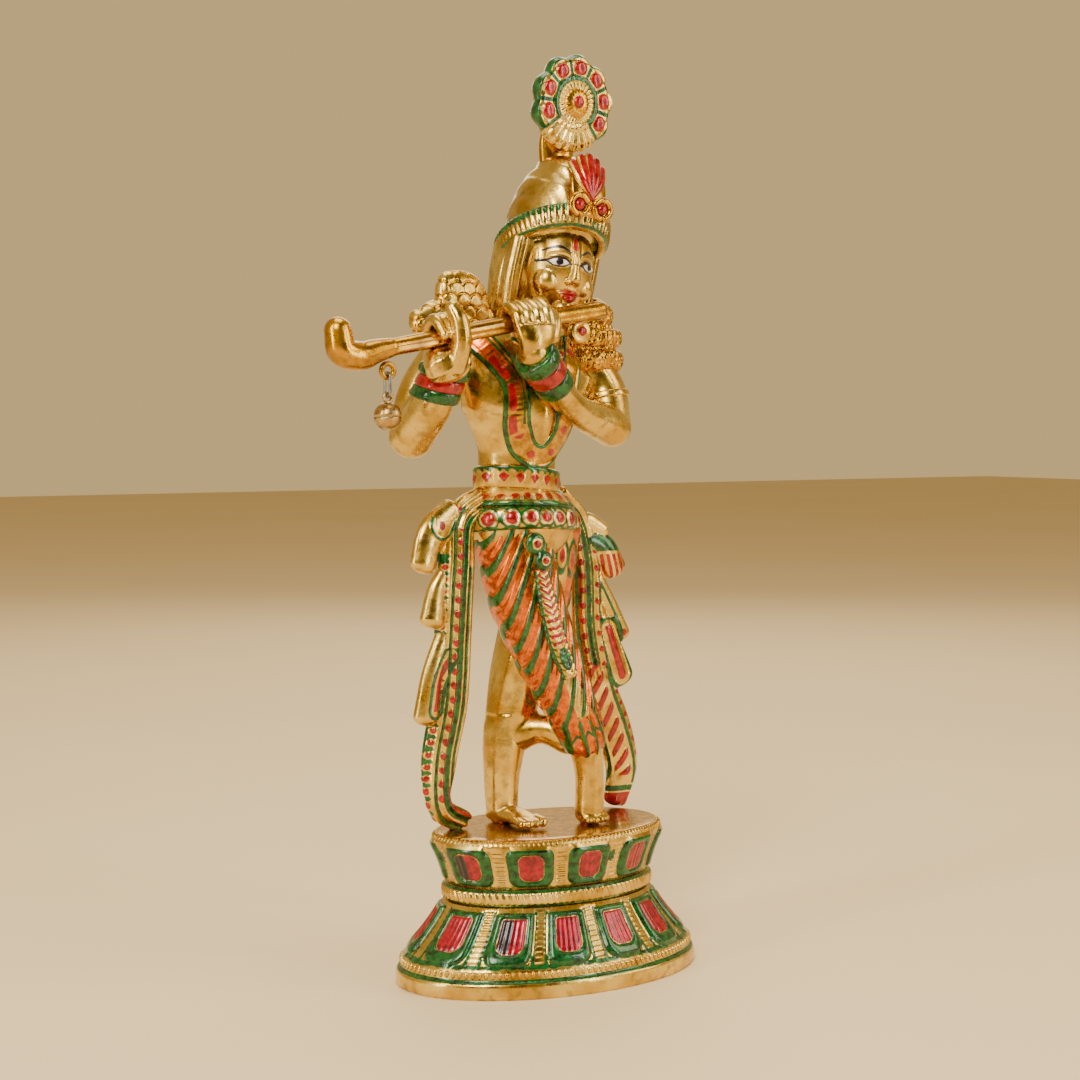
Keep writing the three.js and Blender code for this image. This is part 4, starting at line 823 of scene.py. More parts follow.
leftStreamer = dict(
    ribbon=[(8, 6, 107, 4.4, 2.8), (15, 7, 100, 5, 2.8), (19.4, 7.4, 86, 5.4, 2.6), (21, 8, 62, 5.8, 2.6),
            (26.4, 9.4, 42, 6.6, 2.6), (33.6, 11, 26, 7, 2.8), (37.4, 11.8, 13, 6, 2.8),
            (0.84 * deckHalf, 0.46 * deckHalf * ovalRatio, 2.4, 4.4, 2.4)],
    folds=[[(15, 7, 99, 3, 2.2), (20, 7, 98.6, 3.2, 2.4), (25.6, 7, 95.6, 3, 2.4)],
           [(19, 7, 93, 3, 2.2), (26, 7, 90, 4.6, 2.8), (31, 7.2, 82.4, 4.6, 2.8)],
           [(23, 8, 82, 2.4, 2), (29.6, 8.4, 71, 2.6, 2), (35, 8.8, 60, 3.2, 2.4)],
           [(24.4, 8.4, 70, 2.6, 2), (30.6, 8.8, 54, 4.4, 2.6), (34.6, 9.4, 45, 5.2, 2.8)]])


def streamerBody(shape):
    bm = startMesh()
    addLimb(bm, shape["ribbon"], sides=40, steps=150, part=0)
    for n, stations in enumerate(shape["folds"]):
        addLimb(bm, stations, sides=32, steps=40, part=n + 1)
    return weld(bm, 0.42, 2)


bm = streamerBody(rightStreamer)
skin = Skin(bm)
ribbon = skin.part < 0.5
lane = skin.across
strands = 0.4 * np.cos(lane * 2 * math.pi / 3.0)
lift = np.where(ribbon, strands, 0)
dots = np.where(ribbon & (skin.along > 14) & (skin.along < 104), 1.2 - np.hypot(repeat(skin.along, 4.6),
    lane - 0.0), -1)
edgeDots = np.where(ribbon & (skin.along > 24), 0.9 - np.hypot(repeat(skin.along, 3.8), lane + 4.9), -1)
skin.paint("green", np.where(ribbon & (skin.along > 8), 0.72 - np.abs(np.abs(lane) - 2.0), -1))
skin.paint("green", np.where(ribbon & (skin.along > 26), 0.6 - np.abs(lane - 4.6), -1))
# the outer edge is a dark saw-toothed border with red dots
teeth = 0.45 * np.cos(skin.along * 2 * math.pi / 1.9)
skin.paint("green", np.where(ribbon & (skin.along > 22), np.minimum(-lane - 3.9 + teeth, 0.9 + 0 * lane)
                             - 2 * (edgeDots > -0.35), -1))
skin.paint("red", np.maximum(dots, edgeDots))
lift += 0.3 * swell(np.maximum(dots, edgeDots), 0.8)
# the first fold's scroll, drops and leaf
u, v = skin.x, skin.z
scroll = smoothCourse([(-36.5, 100.5), (-39.5, 95.5), (-43.5, 95.6), (-45.4, 99.2), (-44.4, 101.8)])
scrollLine = np.where((skin.z > 86) & (skin.z < 106) & (skin.x < -35), 0.55 - nearPath(scroll, u, v), -1)
skin.paint("green", scrollLine)
skin.paint("red", np.where((skin.x < -30), np.maximum(oval(u + 41.6, v - 99.4, 1.1, 1.5),
                                                      oval(u + 34, v - 104, 1.6, 1.1)), -1))
skin.paint("green", oval(u + 42.6, v - 89.4, 1.1, 2.0))
# the third fold's long leaf
leaf = np.where(np.abs(skin.part - 3) < 0.5, 1, 0)
leafAlong = nearPath(smoothCourse([(-37.8, 58), (-41.6, 50), (-43.4, 40)]), u, v)
skin.paint("green", np.where((leaf > 0) | ribbon, 0.6 - np.abs(leafAlong - 2.4), -1) - 9 * (skin.z > 60)
           - 9 * (skin.z < 35))
skin.paint("crimson", 0.9 - leafAlong - 9 * (skin.z > 57) - 9 * (skin.z < 40))
tail = ribbon & (skin.z < 15)
skin.paint("green", np.where(tail, 0.9 - np.abs(lane - 1.6), -1))
skin.paint("red", np.where(tail, 1.0 - np.abs(lane - 3.6), -1))
lift += 0.3 * swell(scrollLine, 0.6)
skin.raiseBy(lift)
makePiece(skin, "rightStreamer", figureFrame, giltCasting, ("right_streamer",))

bm = streamerBody(leftStreamer)
skin = Skin(bm)
ribbon = skin.part < 0.5
lane = skin.across
u, v = skin.x, skin.z
lift = np.where(ribbon & (skin.z > 45), 0.4 * np.cos(lane * 2 * math.pi / 3.0), 0)
dots = np.where(ribbon & (skin.along > 6) & (skin.along < 60), 1.15 - np.hypot(repeat(skin.along, 5.0),
    lane + 2.9), -1)
dots = np.maximum(dots, np.where(ribbon & (skin.along > 22) & (skin.along < 62),
                                 1.0 - np.hypot(repeat(skin.along, 5.6), lane - 2.9), -1))
slanted = np.where(ribbon & (skin.z < 52) & (skin.z > 11) & (lane < 2.6),
                   plate(repeat(skin.along + lane * 0.9, 6.0), lane + 1.2, 1.5, 3.0, 0.9, 0.9), -1)
edgeDots = np.where(ribbon & (skin.z < 44) & (skin.z > 6), 0.95 - np.hypot(repeat(skin.along, 4.6),
    lane - 5.4), -1)
skin.paint("red", np.maximum(np.maximum(dots, edgeDots), slanted))
skin.paint("green", np.where(ribbon & (skin.z > 50), 0.75 - np.abs(np.abs(lane) - 0.9), -1))
skin.paint("green", np.where(ribbon & (skin.z > 50), 0.5 - np.abs(np.abs(lane) - 4.8), -1))
skin.paint("green", np.where(ribbon & (skin.z > 8) & (skin.z < 50), 0.7 - np.abs(lane - 3.4), -1))
skin.paint("green", np.where(ribbon & (skin.z > 8) & (skin.z < 50), 0.45 - np.abs(lane + 5.6), -1))
lift += np.where(ribbon & (skin.z < 50), 0.5 * swell(0.9 - np.abs(lane - 3.4), 0.9) + 0.4 * swell(0.8
    - np.abs(lane + 5.4), 0.8), 0)
skin.paint("green", np.where(ribbon & (skin.z < 7.4) & (skin.z > 5.4), 0.5, -1))
skin.paint("red", np.where(ribbon & (skin.z < 5), 0.5, -1))
leafCourse = smoothCourse([(28.4, 62), (31.4, 53), (34.0, 46)])
leafAlong = nearPath(leafCourse, u, v)
leafZone = (skin.z < 66) & (skin.z > 38) & (skin.x > 25)
skin.paint("green", np.where(leafZone, 0.8 - np.abs(leafAlong - 4.0), -1))
skin.paint("red", np.where(leafZone, 1.4 - leafAlong, -1))
skin.paint("pale", np.where(leafZone & (leafAlong < 0.35), 0.7 - np.abs(repeat(skin.z, 2.4)), -1))
lift += np.where(leafZone, 0.5 * swell(1.0 - np.abs(leafAlong - 4.0), 1) + 0.5 * swell(1.6 - leafAlong, 1.4), 0)
fringe = np.abs(skin.part - 2) < 0.5
skin.paint("green", np.where(fringe & (skin.z > 88.5), 0.5, -1))
skin.paint("red", np.where(fringe & (skin.z < 87.6), 0.6 - np.abs(repeat(skin.x + 0.3 * skin.z, 2.2)), -1))
button = np.abs(skin.part - 3) < 0.5
skin.paint("red", np.where(button, 1.2 - np.hypot(u - 34.6, v - 60.5), -1))
skin.paint("green", np.where(button & (skin.z > 61), 0.5 - np.abs(lane + 0.5), -1))
lift += 0.35 * swell(np.maximum(dots, slanted), 0.8)
skin.raiseBy(lift)
makePiece(skin, "leftStreamer", figureFrame, giltCasting, ("left_streamer",))
print("streamers made")


arms = dict(
    rightForearm=[(-49.4, 2.4, 128, 7.4, 7.4), (-48, -8, 138, 7, 6.6), (-44.8, -12.6, 150, 6, 5.2)],
    leftForearm=[(20.4, -7, 130.4, 6.6, 6.6), (0.6, -14.6, 137, 5.2, 5), (-19.6, -22.6, 153.6, 5.4, 4.8)],
    rightUpper=[(-36, 2, 156, 7, 7), (-45, 4, 142, 7.2, 7.2), (-49.4, 2.4, 128, 7.4, 7.4)],
    leftUpper=[(17, 2, 150, 7.6, 7.6), (21, -1, 142, 7.6, 7.6), (20.4, -7, 130.4, 6.6, 6.6)])
for side in ("right", "left"):
    bm = startMesh()
    addLimb(bm, arms[side + "Forearm"], across=(0, 1, 0), part=0)
    addLimb(bm, arms[side + "Upper"], part=1)
    bm = weld(bm, 0.5, 6, carry=False)
    forearm = startMesh()
    addLimb(forearm, arms[side + "Forearm"], across=(0, 1, 0))
    forearmTree = treeOf(forearm)
    armTree = treeOf(bm)
    makePiece(bm, side + "ArmCasting", figureFrame, giltCasting, (side + "_arm",))
    middle, wrist = (Vector(arms[side + "Forearm"][k][:3]) for k in (1, 2))
    start = 0.12 if side == "right" else 0.4
    step = (1 - start) / 3
    for name, share, proud, enamel in (("plain", start, 1.5, "green"), ("red", start + step, 1.7, "red"),
                                       ("beaded", start + 2 * step, 2.3, "green")):
        low, high = middle.lerp(wrist, share), middle.lerp(wrist, share + step)
        axis = Vector((0.12, -0.26, 1)) if side == "right" else high - low
        bm = startMesh()
        addBand(bm, forearmTree, (low + high) / 2, axis, (high - low).length / 2 + 0.1, proud, steps=160,
                flat=0.5)
        skin = Skin(bm)
        skin.paint(enamel, np.full(len(skin.x), 0.9))
        if name == "beaded":
            skin.raiseBy(np.where(skin.face > 0, 0.5 * swell(1.3 - np.hypot(repeat(skin.along, 3.0),
                skin.across), 1.3), 0))
        makePiece(skin, f"{side}{name.title()}Bangle", figureFrame, giltCasting, (f"{side}_{name}_bangle",))
    if side == "left":
        bm2 = startMesh()
        addBand(bm2, armTree, (20.9, -1.5, 140.3), (-0.2, 0.6, 2.6), 1.1, 0.7, steps=160)
        makePiece(bm2, "leftArmlet", figureFrame, giltCasting, ("left_armlet",))
print("arms made")

hand = dict(fingerRadius=1.9, fluteRadius=3.0)


def addFinger(bm, x, reach, way):
    # over the flute's top, from in front of it or from behind it
    away = hand["fluteRadius"] + hand["fingerRadius"] + jointGap
    size = hand["fingerRadius"]
    addLimb(bm, [(x, -way * (away + 0.8), -reach, size * 1.1), (x, -way * away * 0.9, away * 0.6, size * 1.1),
                 (x, way * away * 0.1, away * 1.12, size), (x, way * away * 0.95, away * 0.2, size * 0.85)],
            sides=20, steps=30)


def toFlute(point):
    return (fluteFrame.inverted() @ figureFrame) @ Vector(point)


palmAway = hand["fluteRadius"] + 3.6
for side, palm, centre, reach, way, pitch, thumb in (
        ("right", [(-30.8, -1.6, -8.4, 7.6, 5.4), (-29.6, palmAway * 0.6, -4.6, 5.6, 4)], -28.6, 2, -1, 2.38,
         [(-29.6, -4.4, -9, 3.4), (-27.6, -palmAway, -2.4, 3.2), (-27.2, -palmAway, 4.4, 2.9),
          (-28, -palmAway + 1.4, 8.6, 2.4)]),
        ("left", [(-0.6, -palmAway, -5, 6.6, 3.6), (0, -palmAway, -1, 7.2, 2.6)], 0, 3.4, 1, 3.6,
         [(5.4, -palmAway, -5.4, 2.2), (8, -palmAway + 1.4, -1, 2), (8.4, -palmAway + 3.4, 2.2, 1.6)])):
    wristStation = arms[side + "Forearm"][2]
    bm = startMesh()
    addLimb(bm, [(*toFlute(wristStation[:3]), wristStation[3] * 0.94, wristStation[4] * 0.94), *palm],
            sides=32, steps=24, cap=0.4)
    addLimb(bm, thumb, sides=20, steps=16)
    for n in (-1.5, -0.5, 0.5, 1.5):
        addFinger(bm, centre + n * pitch, reach, way)
    bm = weld(bm, 0.28, 4, carry=False)
    makePiece(bm, side + "HandCasting", fluteFrame, giltCasting, (side + "_hand",))
print("hands made")


flute = dict(radius=3.0, length=82.0)
fluteEnd = flute["length"] * 0.38
finialStart = fluteEnd - flute["length"]
bm = startMesh()
addLimb(bm, [(finialStart + 3, 0, -0.3, 2.7), (0, 0, 0.5, 2.85), (fluteEnd - 3, 0, 0, 3)], sides=40, steps=90,
        across=(0, 1, 0))
skin = Skin(bm)
skin.raiseBy(0.35 * np.exp(-((skin.z + 1.6) / 0.5) ** 2) - 0.3 * np.exp(-((skin.z + 0.6) / 0.4) ** 2))
makePiece(skin, "fluteCasting", fluteFrame, amberCasting, ("flute",))
bm = startMesh()
addLimb(bm, [(finialStart + 2, 0, -0.3, 3.0), (finialStart - 3, 0, -0.6, 3.7), (finialStart - 8.5, 0, -1.2,
    4.5), (finialStart - 14, 0, 1, 4.65),
             (finialStart - 14.6, 0, 7.4, 4.2)], sides=40, steps=50, across=(0, 1, 0))
makePiece(bm, "fluteFinial", fluteFrame, amberCasting, ("flute_finial",))

bell = dict(lugRadius=2.1, lugWire=0.85, linkLength=7.4, linkWidth=3.4, linkWire=0.5, shankRadius=1.35,
            shankWire=0.5,
            radius=4.3, wall=0.5, slot=1.4)
linkTop = -bell["lugRadius"] + bell["lugWire"] + bell["linkWire"] + jointGap / 2
linkStraight = bell["linkLength"] - bell["linkWidth"]
linkCentre = linkTop - bell["linkLength"] / 2
shankCentre = (linkTop - bell["linkLength"] - bell["shankRadius"] + bell["shankWire"]
               + bell["linkWire"] + jointGap / 2)
bellCentre = shankCentre - bell["shankRadius"] - bell["radius"]


def addWireLoop(bm, radius, wire, straight, height, quarter):
    # round wire spun to a ring in XZ, pulled apart by its straight sides
    ring = bmesh.ops.create_circle(bm, cap_ends=False, segments=16, radius=wire,
                                   matrix=Matrix.Translation((radius, 0, 0))
                                   @ Matrix.Rotation(math.pi / 2, 4, "X"))["verts"]
    edges = list({edge for vert in ring for edge in vert.link_edges})
    bmesh.ops.spin(bm, geom=ring + edges, cent=(0, 0, 0), axis=(0, 0, 1), dvec=(0, 0, 0), angle=2 * math.pi,
                   steps=48,
                   use_merge=True, use_normal_flip=False, use_duplicate=False)
    bmesh.ops.rotate(bm, cent=(0, 0, 0), matrix=Matrix.Rotation(math.pi / 2, 3, "X"), verts=bm.verts)
    for vert in bm.verts:
        if abs(vert.co.z) > 1e-4:
            vert.co.z += math.copysign(straight / 2, vert.co.z)
    if quarter:
        bmesh.ops.rotate(bm, cent=(0, 0, 0), matrix=Matrix.Rotation(math.pi / 2, 3, "Z"), verts=bm.verts)
    bmesh.ops.translate(bm, vec=(0, 0, height), verts=bm.verts)
    bmesh.ops.recalc_face_normals(bm, faces=bm.faces)


bm = startMesh()
addWireLoop(bm, bell["lugRadius"], bell["lugWire"], 0, 0, False)
makePiece(bm, "bellLug", bellFrame, amberCasting, ("bell_lug",))
bm = startMesh()
addWireLoop(bm, bell["linkWidth"] / 2, bell["linkWire"], linkStraight, linkCentre, True)
makePiece(bm, "wireLink", bellFrame, drawnSteel, ("bell_wire_link",), body="link")
bm = startMesh()
addWireLoop(bm, bell["shankRadius"], bell["shankWire"], 0, shankCentre, False)
makePiece(bm, "bellShank", bellFrame, stampedBrass, ("bell_shank_loop",), body="bell")
for up, node in ((1, "bell_upper_shell"), (-1, "bell_lower_shell")):
    bm = startMesh()
    angles = np.linspace(0, math.pi / 2, 14)
    rim = jointGap / 2
    wallPath = [(bell["radius"] * math.cos(a),
                 up * (rim + (bell["radius"] - rim) * math.sin(a))) for a in angles]
    verts = [bm.verts.new((radius, 0, height)) for radius, height in wallPath]
    edges = [bm.edges.new(pair) for pair in zip(verts[:-1], verts[1:])]
    bmesh.ops.spin(bm, geom=verts + edges, cent=(0, 0, 0), axis=(0, 0, 1), dvec=(0, 0, 0), angle=2 * math.pi,
                   steps=56,
                   use_merge=True, use_normal_flip=False, use_duplicate=False)
    bmesh.ops.remove_doubles(bm, verts=bm.verts, dist=0.0005)
    if up < 0:
        slit = [face for face in bm.faces if abs(face.calc_center_median().y) < bell["slot"] / 2
                and abs(face.calc_center_median().x) < (bell["radius"] - bell["wall"]) * 0.8
                and face.calc_center_median().z < -bell["radius"] * 0.45]
        bmesh.ops.delete(bm, geom=slit, context="FACES")
    bmesh.ops.recalc_face_normals(bm, faces=bm.faces)
    bmesh.ops.solidify(bm, geom=bm.faces, thickness=bell["wall"])
    bmesh.ops.translate(bm, vec=(0, 0, bellCentre), verts=bm.verts)
    bmesh.ops.recalc_face_normals(bm, faces=bm.faces)
    makePiece(bm, "bellUpper" if up > 0 else "bellLower", bellFrame, stampedBrass, (node,), body="bell")
print("flute and bell made")


shawls = dict(
    right=[[(-22, 4.4, 165, 5, 3), (-30, 4.6, 172.5, 8.4, 3.8), (-36, 4.6, 172.6, 7.6, 3.4)],
           [(-24, 4.4, 161, 5, 3), (-36, 4.6, 165.4, 6.4, 3.8), (-46, 4, 163.4, 4.6, 3)]],
    left=[[(8, 0.6, 164, 5, 4), (15.6, 0.6, 167.2, 6, 5), (21, 1, 166.6, 5, 4)],
          [(10, -1.6, 159, 5, 4), (17.6, -1.8, 160, 6, 5), (23, -1, 159.2, 4.8, 4)],
          [(12, -2, 153.8, 5, 4), (18.8, -2.4, 153, 6, 5), (23.4, -1.4, 152, 4.6, 4)]])
bm = startMesh()
for n, stations in enumerate(shawls["right"]):
    addLimb(bm, stations, part=n)
bm = weld(bm, 0.34, 2, carry=False)
skin = Skin(bm)
# leaf scales that fan out from the shoulder
row = np.floor((skin.z - 150) / 4)
scale = np.hypot(repeat(skin.x + row * 2.4, 4.8), skin.z - 150 - row * 4 - 0.6)
skin.raiseBy(-0.35 * np.exp(-((2.7 - scale) / 0.35) ** 2))
skin.paint("amberPaint", 0.5 - np.abs(2.7 - scale))
makePiece(skin, "rightShawlEnd", figureFrame, giltCasting, ("right_shawl_end",))

bm = startMesh()
for n, stations in enumerate(shawls["left"]):
    addLimb(bm, stations, part=n)
bm = weld(bm, 0.34, 2)
skin = Skin(bm)
# rows of small beads along each lobe
rowHeight = 1.8
beadRow = repeat(skin.across, rowHeight)
beadStep = repeat(skin.along + np.floor(skin.across / rowHeight) * 0.9, 1.9)
seam = np.minimum(np.abs(skin.z - 163.2), np.abs(skin.z - 156.4))
skin.raiseBy(0.45 * swell(0.9 - np.hypot(beadRow, beadStep), 0.9) - 0.7 * np.exp(-(seam / 0.7) ** 2))
skin.paint("amberPaint", np.full(len(skin.x), 0.8))
makePiece(skin, "leftShawlEnd", figureFrame, giltCasting, ("left_shawl_end",))

bm = startMesh()
addDrop(bm, (4, -12.6, 161.4), (4.2, 1.9, 4.2), sides=48, rings=32)
skin = Skin(bm)
away = np.hypot(skin.x - 4, skin.z - 161.4)
skin.paint("red", np.where(skin.ny < 0, 1.5 - away, -1))
skin.raiseBy(np.where(skin.ny < 0, 0.4 * swell(1.5 - away, 1.2) + 0.25 * np.exp(-((away - 3.2) / 0.5) ** 2), 0))
makePiece(skin, "shoulderBrooch", figureFrame, giltCasting, ("shoulder_brooch",))
print("shawl made")


def bandCut(bm, under):
    # what is under or over the slanting plane of the crown's band
    bmesh.ops.bisect_plane(bm, geom=list(bm.verts) + list(bm.edges) + list(bm.faces), plane_co=(0, 0, 23),
                           plane_no=(0, 0.42, 1), clear_outer=under, clear_inner=not under)
    bmesh.ops.holes_fill(bm, edges=[edge for edge in bm.edges if edge.is_boundary], sides=0)


face = dict(egg=((0, -1.5, 14.5), (12.6, 14.2, 17)), eyeHeight=14.6, eyeAside=5.4, browHeight=18.6,
            mouthHeight=4.9)
bm = startMesh()
addDrop(bm, *face["egg"], sides=64, rings=48)
addLimb(bm, [(0, -14.6, 17.0, 1.2, 1.4), (0, -15.6, 13, 1.4, 1.6), (0, -16.2, 9.8, 1.9, 1.7)], sides=24,
        steps=20)
for aside in (-1.6, 1.6):
    addDrop(bm, (aside, -15.0, 8.8), (1.2, 1.3, 1.0))
addLimb(bm, [(-3.4, -12.9, 5.0, 0.7, 0.9), (0, -14.3, 5.5, 0.9, 1.3), (3.4, -12.9, 5.0, 0.7, 0.9)], sides=20,
        steps=20, across=(0, 0, 1))
addLimb(bm, [(-2.6, -12.8, 4.0, 0.8, 0.9), (0, -13.9, 3.5, 1.1, 1.3), (2.6, -12.8, 4.0, 0.8, 0.9)], sides=20,
        steps=20, across=(0, 0, 1))
addDrop(bm, (0, -11.4, 0.6), (3.6, 2.9, 2.6), sides=24, rings=16)
for aside in (-1, 1):
    addDrop(bm, (6.2 * aside, -9.4, 8.6), (4.6, 4.2, 4.8), sides=24, rings=16)
    addLimb(bm, [(2.4 * aside, -13.5, 17.6, 0.7), (5.6 * aside, -12.6, 18.8, 0.8), (9 * aside, -9.4, 17.4,
        0.6)], sides=16, steps=16)
bm = weld(bm, 0.26, 5, carry=False)
bandCut(bm, under=True)
skin = Skin(bm)
front = skin.ny < 0.1
lift = np.zeros(len(skin.x))
for aside in (-1, 1):
    u = (skin.x - face["eyeAside"] * aside) * aside
    v = skin.z - face["eyeHeight"]
    # an almond eye, with its lids and a painted rim drawn out to the side
    lid = 1.55 * np.sqrt(np.clip(1 - (u / 3.5) ** 2, 0, 1))
    almond = np.where(np.abs(u) < 3.5, lid - np.abs(v), -np.abs(u) + 3.5)
    lift += np.where(front, 0.5 * swell(almond, 1.6) - 0.5 * np.exp(-((almond + 0.9) / 0.7) ** 2) * (v > 0), 0)
    skin.paint("white", np.where(front, almond, -1))
    rimLine = nearPath([(-3.4, 0), (-1.8, 1.25), (0, 1.6), (1.8, 1.3), (3.4, 0.2), (5.4, -0.2)], u, v)
    lower = nearPath([(-3.4, 0), (-1.6, -1.1), (0, -1.45), (1.8, -1.2), (3.4, 0.0)], u, v)
    skin.paint("inkAndPaintedShade", np.where(front, np.maximum(0.5 - rimLine, 0.3 - lower), -1))
    skin.paint("inkAndPaintedShade", np.where(front, 1.1 - np.hypot(u, v - 0.1), -1))
    brow = nearPath(smoothCourse([(-3.2, 3.6), (0, 5.0), (4.6, 3.4)]), u, v)
    skin.paint("inkAndPaintedShade", np.where(front, 0.5 - brow * 1.05 - 0.04 * np.abs(u), -1))
lips = np.maximum(oval(skin.x, skin.z - 5.3, 3.5, 1.15), oval(skin.x, skin.z - 3.8, 2.8, 1.2))
skin.paint("red", np.where(front, lips, -1))
mark = np.maximum(oval(skin.x, skin.z - 21.5, 0.95, 2.2), oval(skin.x, skin.z - 20.2, 1.2, 1.0))
skin.paint("red", np.where(front, mark, -1))
skin.raiseBy(lift)
makePiece(skin, "headCasting", headFrame, giltCasting, ("head",))


for side, sign in (("right", -1), ("left", 1)):
    bm = startMesh()
    back = 3.2 if side == "left" else 0.6
    addLimb(bm, [(sign * 14.4, back - 3, 21, 3, 4.4), (sign * 14.6, back - 1.4, 10, 3, 4.6),
                 (sign * 13.4, 1.6, -4, 2.6, 4.2)],
            steps=60)
    skin = Skin(bm)
    skin.raiseBy(0.2 * np.cos(np.arctan2(skin.face, skin.side) * 9))
    makePiece(skin, side + "SideLock", headFrame, shadedHairCasting, (side + "_side_lock",))
bm = startMesh()
addLimb(bm, [(0, 4.4, 26, 16.4, 14.6), (-0.4, 5, 12, 17.4, 14), (-1, 7.4, 0, 15.4, 9.6), (0, 9.4, -10, 11,
    5.4)], sides=96, steps=70)
bandCut(bm, under=True)
skin = Skin(bm)
skin.raiseBy(0.32 * np.cos(np.arctan2(skin.face, skin.side) * 26 + 0.5 * np.sin(skin.z * 0.4)))
makePiece(skin, "backHair", headFrame, shadedHairCasting, ("hair_knot",))

crown = dict(dome=[(0, 1.6, 11, 15, 17), (0, 1.6, 22, 15.8, 17.8), (0.5, 1.4, 32, 15, 16.8), (1.2, 0.3, 41,
    12.8, 14.2),
                   (1.3, -0.5, 45.4, 10.2, 11.4)],
             brow=[(0, 1.4, 10, 15.4, 17.4), (0, 1.4, 24, 16, 18), (0.8, 1, 37, 14.6, 17)],
             lining=((0, -1.2, 21.5), (13.4, 15, 12.5)), liningEdge=(0, -1.2, 20.1))
bm = startMesh()
addLimb(bm, crown["dome"], sides=80, steps=70, cap=0.6)
bandCut(bm, under=False)
domeParts = set(bm.verts) | set(bm.edges) | set(bm.faces)
addDrop(bm, *crown["lining"], sides=48, rings=32)  # the crown's inner side, closed level with its band
liningParts = [part for part in list(bm.verts) + list(bm.edges) + list(bm.faces) if part not in domeParts]
rim = bmesh.ops.bisect_plane(bm, geom=liningParts, plane_co=crown["liningEdge"], plane_no=(0, 0.42, 1),
                             clear_inner=True)["geom_cut"]
bmesh.ops.edgeloop_fill(bm, edges=[part for part in rim if isinstance(part, bmesh.types.BMEdge)])
skin = Skin(bm)
skin.raiseBy(0.14 * np.cos((skin.across * 0.6 + skin.z * 0.3) * 2.2))
makePiece(skin, "crownDome", headFrame, shadedHairCasting, ("crown",))

bm = startMesh()
addLimb(bm, crown["brow"], sides=60, steps=30)
browTree = treeOf(bm)
bm = startMesh()
addBand(bm, browTree, (0, 0, 23), (0, 0.42, 1), 3.9, 2.0, steps=360, rings=36)
skin = Skin(bm)
rib = np.cos(skin.along * 2 * math.pi / 1.9)
upperLane, lowerLane = np.abs(skin.across - 1.5), np.abs(skin.across + 1.4)
skin.paint("green", np.where((skin.along < 3) & (upperLane < 1.5), 0.9 - np.abs(rib + 0.5) * 0.9
                             - 0.05 * (skin.along + 12), -1))
skin.paint("green", np.where((skin.along > 2) & (lowerLane < 1.2), 0.5 - np.abs(rib + 0.6) * 0.9, -1))
skin.paint("green", 0.5 - np.abs(skin.across - 3.3))
skin.paint("green", 0.4 - np.abs(skin.across + 3.3))
skin.raiseBy(0.3 * rib * ((upperLane < 1.2) | (lowerLane < 1.0)) + 0.25 * swell(0.5 - np.abs(skin.across
    - 0.1), 0.5))
makePiece(skin, "crownBand", headFrame, shadedHairCasting, ("crown_band",))

crest = dict(rays=(-40, -20, 0, 20, 40), curl=3.1, curlAside=4.3, curlHeight=33.2)
bm = startMesh()
for turn in np.radians(crest["rays"]):
    top = (0.8 + 8.6 * math.sin(turn), -13.0 + 0.6 * abs(turn), 37 + 13 * math.cos(turn))
    addLimb(bm, [(0.7, -17.8, 36, 1.0, 1.3), ((0.7 + top[0]) / 2 + 1.2 * math.sin(turn), -16.0,
                                              (36 + top[2]) / 2, 1.8, 1.6),
                 (*top, 1.7, 1.3)], sides=20, steps=24)
addLimb(bm, [(0.5, -17.6, 31, 4.4, 1.4), (0.6, -16.0, 39, 6.6, 1.2), (0.8, -13.6, 45.6, 6.2, 1.0)], sides=32,
        steps=24, part=1)
for aside in (-1, 1):
    curl = [(0.6 + aside * (crest["curlAside"] + crest["curl"] * math.cos(a)), -18.8,
             crest["curlHeight"] + crest["curl"] * math.sin(a))
            for a in np.linspace(2.6, -3.0, 8)]
    addLimb(bm, [(*p, 1.05) for p in curl], sides=14, steps=40, part=1)
    addDrop(bm, (0.6 + aside * crest["curlAside"], -18.6, crest["curlHeight"]), (1.9, 1.5, 1.9), sides=20,
            rings=14, part=2)
skin = Skin(bm)
skin.paint("red", np.where(((skin.part < 0.5) & (np.abs(skin.side) < 0.8)) | (skin.part > 1.5), 0.9, -1))
skin.paint("amberPaint", np.where(np.abs(skin.part - 1) < 0.4, 0.9, -1))
makePiece(skin, "crownCrest", headFrame, giltCasting, ("crown_crest",))

bm = startMesh()
addLimb(bm, [(-1.4, 1.8, 46, 6, 3.4), (-3, 1.6, 55, 6.4, 3), (-3.2, 1.2, 62, 5.4, 2.4)], sides=48, steps=30)
makePiece(bm, "featherStem", headFrame, amberCasting, ("feather_stem",))

medallion = dict(centre=(-3, -4.4, 67.4), radius=14.2, stretch=1.08, petals=7)
bm = startMesh()
profile = denser([(0.05, -3), (12.2, -3), (13.6, -2.2), (14.2, -0.6), (14.2, 0.8), (13.4, 2.2), (12.2, 2.8),
                  (0.05, 3)], 0.4)
verts = [bm.verts.new((radius, 0, height)) for radius, height in profile]
edges = [bm.edges.new(pair) for pair in zip(verts[:-1], verts[1:])]
bmesh.ops.spin(bm, geom=verts + edges, cent=(0, 0, 0), axis=(0, 0, 1), dvec=(0, 0, 0), angle=2 * math.pi,
               steps=240,
               use_merge=True, use_normal_flip=False, use_duplicate=False)
bmesh.ops.holes_fill(bm, edges=[edge for edge in bm.edges if edge.is_boundary], sides=0)
bmesh.ops.rotate(bm, cent=(0, 0, 0), matrix=Matrix.Rotation(math.pi / 2, 3, "X"), verts=bm.verts)
bmesh.ops.scale(bm, vec=(1, 1, medallion["stretch"]), verts=bm.verts)
bmesh.ops.recalc_face_normals(bm, faces=bm.faces)
skin = Skin(bm)
away = np.hypot(skin.x, skin.z / medallion["stretch"])
